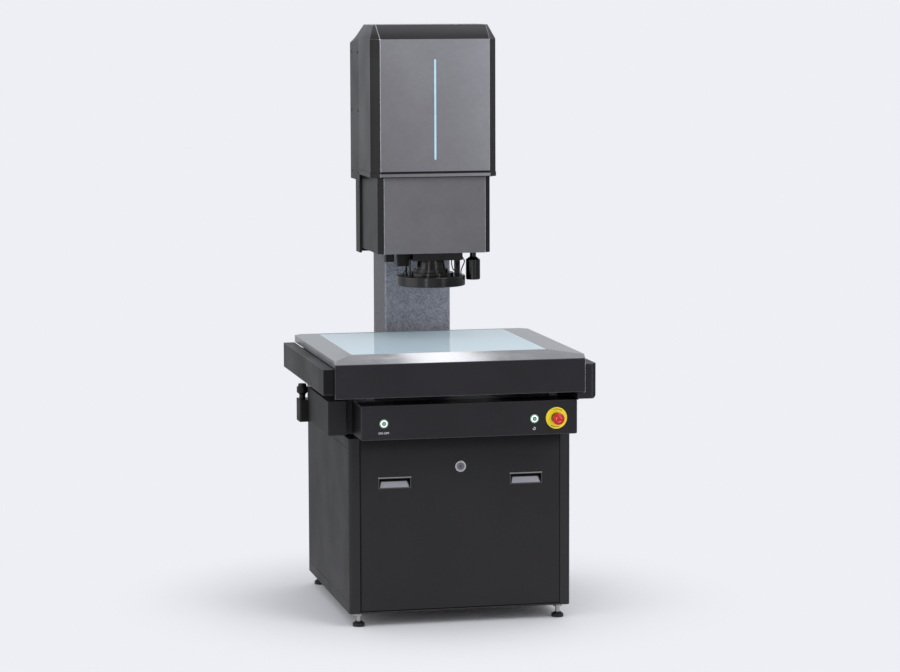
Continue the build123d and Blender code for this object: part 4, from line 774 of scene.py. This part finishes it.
# Looks of single CAD nodes, which come before those of their slots
own_looks = {
    # The left end cover has darker tones of its own, painted shade, and a pale tone along its folds,
    # a painted highlight.
    "left_end_cover": paint(
        "left_cover_painted_shade", srgb(14, 14, 16), 0.42, 0.25, 0.4, 0.00002, side=srgb(20, 20, 22),
        other=srgb(24, 24, 26), bend=0.0022, highlight_rim=0.30,
    ),
    # The saddle is near-black so that what shows of it under the apron reads dark: painted shade.
    "saddle": paint("saddle_black_painted_shade", srgb(20, 20, 21), 0.6, 0.15, 0.8, 0.00005),
    "head_cover": head_paint,
    "head_back_cover": back_paint,
    "housing_back_cover": back_paint,
    "cable_duct": back_paint,
    "cam_lock": lock_material(
        "lock_chrome", at(0, 0, LOCK_Z), 0.0108, srgb(120, 118, 128), srgb(222, 222, 226), 0.2
    ),
    "pull_cups": cup_material("cup_scoop", CUP_CENTRES, at(0, CABINET_FRONT - 0.1, 0).y),
    # The door darkens towards its top, a painted shadow under the switch box, and dark lines mark
    # its two upright edges.
    "access_panel": paint(
        "door_black_painted_shadow", BLACK_PAINT, 0.52, 0.25, 0.6, 0.00004,
        painted_shading_rise=(None, (DOOR_HIGH[2] - 0.050, DOOR_HIGH[2]), srgb(16, 16, 17)),
        joints=(("X", DOOR_LOW[0], 0.0044, 1.0), ("X", DOOR_HIGH[0], 0.0024, 0.8)),
    ),
}

for node_name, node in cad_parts.items():
    for place in node.material_slots:
        slot_name = place.material.name.split(".")[0]
        place.material = own_looks.get(node_name, looks[slot_name])


# Small pieces
def add_piece(name, mesh, material, body):
    """Put a mesh into the scene as a piece that rides on a body."""
    mesh.materials.clear()
    mesh.materials.append(material)
    ob = new_object(name, mesh)
    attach(ob, body)


def make_piece(name, shape, material, body, smooth=False):
    """A piece from the corners and faces of a shape."""
    verts, faces = shape
    mesh = bpy.data.meshes.new(name)
    mesh.from_pydata(verts, [], faces)
    mesh.validate()
    for face in mesh.polygons:
        face.use_smooth = smooth
    add_piece(name, mesh, material, body)


def raised_shape(outlines, front, back):
    """Closed shapes on an X and Z face, raised from y = back to y = front, all in millimetres."""
    verts = []
    faces = []
    for outline in outlines:
        start = len(verts)
        count = len(outline)
        verts += [at(x, front, z) for x, z in outline]
        verts += [at(x, back, z) for x, z in outline]
        faces.append([start + i for i in range(count)])
        faces.append([start + count + i for i in reversed(range(count))])
        for i in range(count):
            j = (i + 1) % count
            faces.append([start + j, start + i, start + count + i, start + count + j])
    return verts, faces


def on_circle(centre, radius, degrees):
    """A point of a circle on an X and Z face."""
    turn = math.radians(degrees)
    return centre[0] + radius * math.cos(turn), centre[1] + radius * math.sin(turn)


def rounded_bar(x, low, high, half, steps=8):
    """Outline of an upright bar with round ends."""
    top = [on_circle((x, high - half), half, 180 * i / steps) for i in range(steps + 1)]
    bottom = [on_circle((x, low + half), half, 180 + 180 * i / steps) for i in range(steps + 1)]
    return top + bottom


def arrow_arc(centre, radius, width, start, sweep, steps=14):
    """Outlines of a curved band and the arrow head at its end, angles in degrees."""
    turns = [start + sweep * i / steps for i in range(steps + 1)]
    band = [on_circle(centre, radius + width / 2, turn) for turn in turns]
    band += [on_circle(centre, radius - width / 2, turn) for turn in reversed(turns)]
    end = start + sweep
    tip = end + math.copysign(math.degrees(width * 1.7 / radius), sweep)
    head = [
        on_circle(centre, radius + width * 1.3, end),
        on_circle(centre, radius, tip),
        on_circle(centre, radius - width * 1.3, end),
    ]
    return [band, head]


def turned(profile, centre, axis, steps):
    """A lathe shape about an axis through a point: profile is (radius, along), in millimetres."""
    along = Vector(axis)
    side = along.orthogonal().normalized()
    other = along.cross(side)
    verts = []
    faces = []
    for radius, height in profile:
        for i in range(steps):
            turn = 2 * math.pi * i / steps
            out = side * math.cos(turn) + other * math.sin(turn)
            verts.append(at(*centre) + (out * radius + along * height) * MM)
    for row in range(len(profile) - 1):
        low = row * steps
        high = low + steps
        for i in range(steps):
            j = (i + 1) % steps
            faces.append([low + i, low + j, high + j, high + i])
    faces.append(list(reversed(range(steps))))
    faces.append([(len(profile) - 1) * steps + i for i in range(steps)])
    return verts, faces


def joined(shapes):
    """Several shapes as one."""
    verts = []
    faces = []
    for more_verts, more_faces in shapes:
        start = len(verts)
        verts += more_verts
        faces += [[start + i for i in face] for face in more_faces]
    return verts, faces


def printed_words(name, words, size, middle, face_y, material, body):
    """Raised printed lettering, centred on a point of a front face, in millimetres."""
    curve = bpy.data.curves.new(name + "_text", "FONT")
    curve.body = words
    curve.size = size * MM
    curve.extrude = 0.12 * MM
    curve.align_x = "CENTER"
    curve.align_y = "CENTER"
    maker = new_object(name + "_maker", curve)
    bpy.context.view_layer.update()
    mesh = bpy.data.meshes.new_from_object(maker)
    bpy.data.objects.remove(maker)
    upright = Matrix.Rotation(math.radians(90), 4, "X")
    mesh.transform(Matrix.Translation(at(middle[0], face_y, middle[1])) @ upright)
    add_piece(name, mesh, material, body)


# Printed marks, in millimetres
INK = 0.3
STOP_CENTRE = (STOP_X, SWITCH_Z)
WORDS_CENTRE = (POWER_X, 564.0)
SIGN_CENTRE = (RESET_X, 563.5)
STRIPE_LOW = 1285.0
STRIPE_HIGH = 1573.0
STRIPE_HALF = 2.9

white_ink = plastic("white_ink", srgb(238, 239, 240), 0.5, 0.3, 0.3, 0.00001)
dark_ink = plastic("dark_ink", srgb(60, 52, 16), 0.5, 0.3, 0.3, 0.00001)
pink_glint_ink = plastic("pink_glint_ink", srgb(226, 158, 150), 0.5, 0.3, 0.3, 0.00001)
stripe_blue = plastic("stripe_blue", srgb(186, 224, 240), 0.35, 0.4, 0.4, 0.00001)

stripe = rounded_bar(0, STRIPE_LOW, STRIPE_HIGH, STRIPE_HALF)
make_piece(
    "head_stripe", raised_shape([stripe], HEAD_FRONT - 0.5, HEAD_FRONT + 0.1), stripe_blue,
    "base",
)
printed_words(
    "power_words", "ON OFF", 8.2, WORDS_CENTRE, BOX_FACE - 0.1, white_ink, "base"
)
reset_arrow = arrow_arc(SIGN_CENTRE, 3.4, 1.3, 120, -280)
make_piece(
    "reset_sign", raised_shape(reset_arrow, BOX_FACE - 0.25, BOX_FACE + 0.05), white_ink,
    "base",
)
legend_marks = []
for start in (110, 290):
    legend_marks += arrow_arc(STOP_CENTRE, 25.0, 1.5, start, -52)
make_piece(
    "legend_arrows", raised_shape(legend_marks, LEGEND_FACE - INK, LEGEND_FACE), dark_ink,
    "base",
)
# Pale pink twist arrows on the stop's red head, kept pale so that they also stand for its shine:
# printed marks and painted highlights.
stop_marks = []
for start in (80, 200, 320):
    stop_marks += arrow_arc(STOP_CENTRE, 7.6, 1.2, start, -60)
make_piece(
    "stop_arrows", raised_shape(stop_marks, STOP_FACE - INK, STOP_FACE), pink_glint_ink,
    "stop_head",
)

# Wiper under the right cover, in millimetres: the outline of its lip and its two ends. Its black
# rubber also closes the gap there, so that the gap shows dark: a dark piece that stands in for
# shade
WIPER_OUTLINE = [(300.6, 641.2), (305.0, 641.2), (305.6, 643.6), (300.6, 643.6)]
WIPER_FRONT = -474
WIPER_REAR = 184

black_rubber = plastic("black_rubber", srgb(16, 16, 17), 0.7, 0.25, 0.8, 0.00004)
wiper = raised_shape([WIPER_OUTLINE], WIPER_FRONT, WIPER_REAR)
make_piece("saddle_wiper", wiper, black_rubber, "y_saddle")

# Lamps under the ring light, in millimetres: radius and number of each ring, and a dome's profile
LAMP_RINGS = ((60.0, 18), (72.0, 22), (84.0, 26))
LAMP_DOME = [(2.4, 0.8), (2.4, -0.2), (2.1, -1.0), (1.4, -1.7), (0.5, -2.0)]
RING_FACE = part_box("ring_light")[0][2] / MM

lamp_clear = plastic("lamp_clear", srgb(226, 228, 220), 0.25, 0.5, 0.5, 0.00001)
domes = []
for reach, count in LAMP_RINGS:
    for i in range(count):
        turn = 2 * math.pi * i / count
        place = (reach * math.cos(turn), LENS_Y + reach * math.sin(turn), RING_FACE)
        domes.append(turned(LAMP_DOME, place, (0, 0, 1), 10))
make_piece("ring_lamps", joined(domes), lamp_clear, "camera_head", smooth=True)

# Button-head screws of the covers, in millimetres: a screw's profile, and the rows they stand in
SCREW = [(1.0, 0.6), (1.8, 0.7), (1.9, 1.7), (2.9, 1.6), (3.6, 0.9), (3.6, -0.2)]
HEAD_SIDE_ROWS = ((200, 297), (1240, 1420, 1590))
HEAD_REAR_ROWS = ((-150, 150), (1250, 1430, 1600))
PANEL_ROWS = ((-272, 0, 272), (82, 490))

screw_steel = metal("screw_black", srgb(96, 96, 100), 0.35, (1, 1, 1), 0.8, 0.000004)


def screws(name, spots, way):
    """Screws with a socket, standing out of a face towards way."""
    shapes = [turned(SCREW, spot, way, 12) for spot in spots]
    make_piece(name, joined(shapes), screw_steel, "base")


for side_name, side in (("left", -1), ("right", 1)):
    side_spots = [
        (side * HEAD_HALF, y, z) for y in HEAD_SIDE_ROWS[0] for z in HEAD_SIDE_ROWS[1]
    ]
    screws("head_screws_" + side_name, side_spots, (side, 0, 0))
rear_spots = [(x, HEAD_REAR, z) for x in HEAD_REAR_ROWS[0] for z in HEAD_REAR_ROWS[1]]
screws("head_screws_rear", rear_spots, (0, 1, 0))
panel_spots = [(x, CABINET_REAR, z) for x in PANEL_ROWS[0] for z in PANEL_ROWS[1]]
screws("panel_screws_rear", panel_spots, (0, 1, 0))
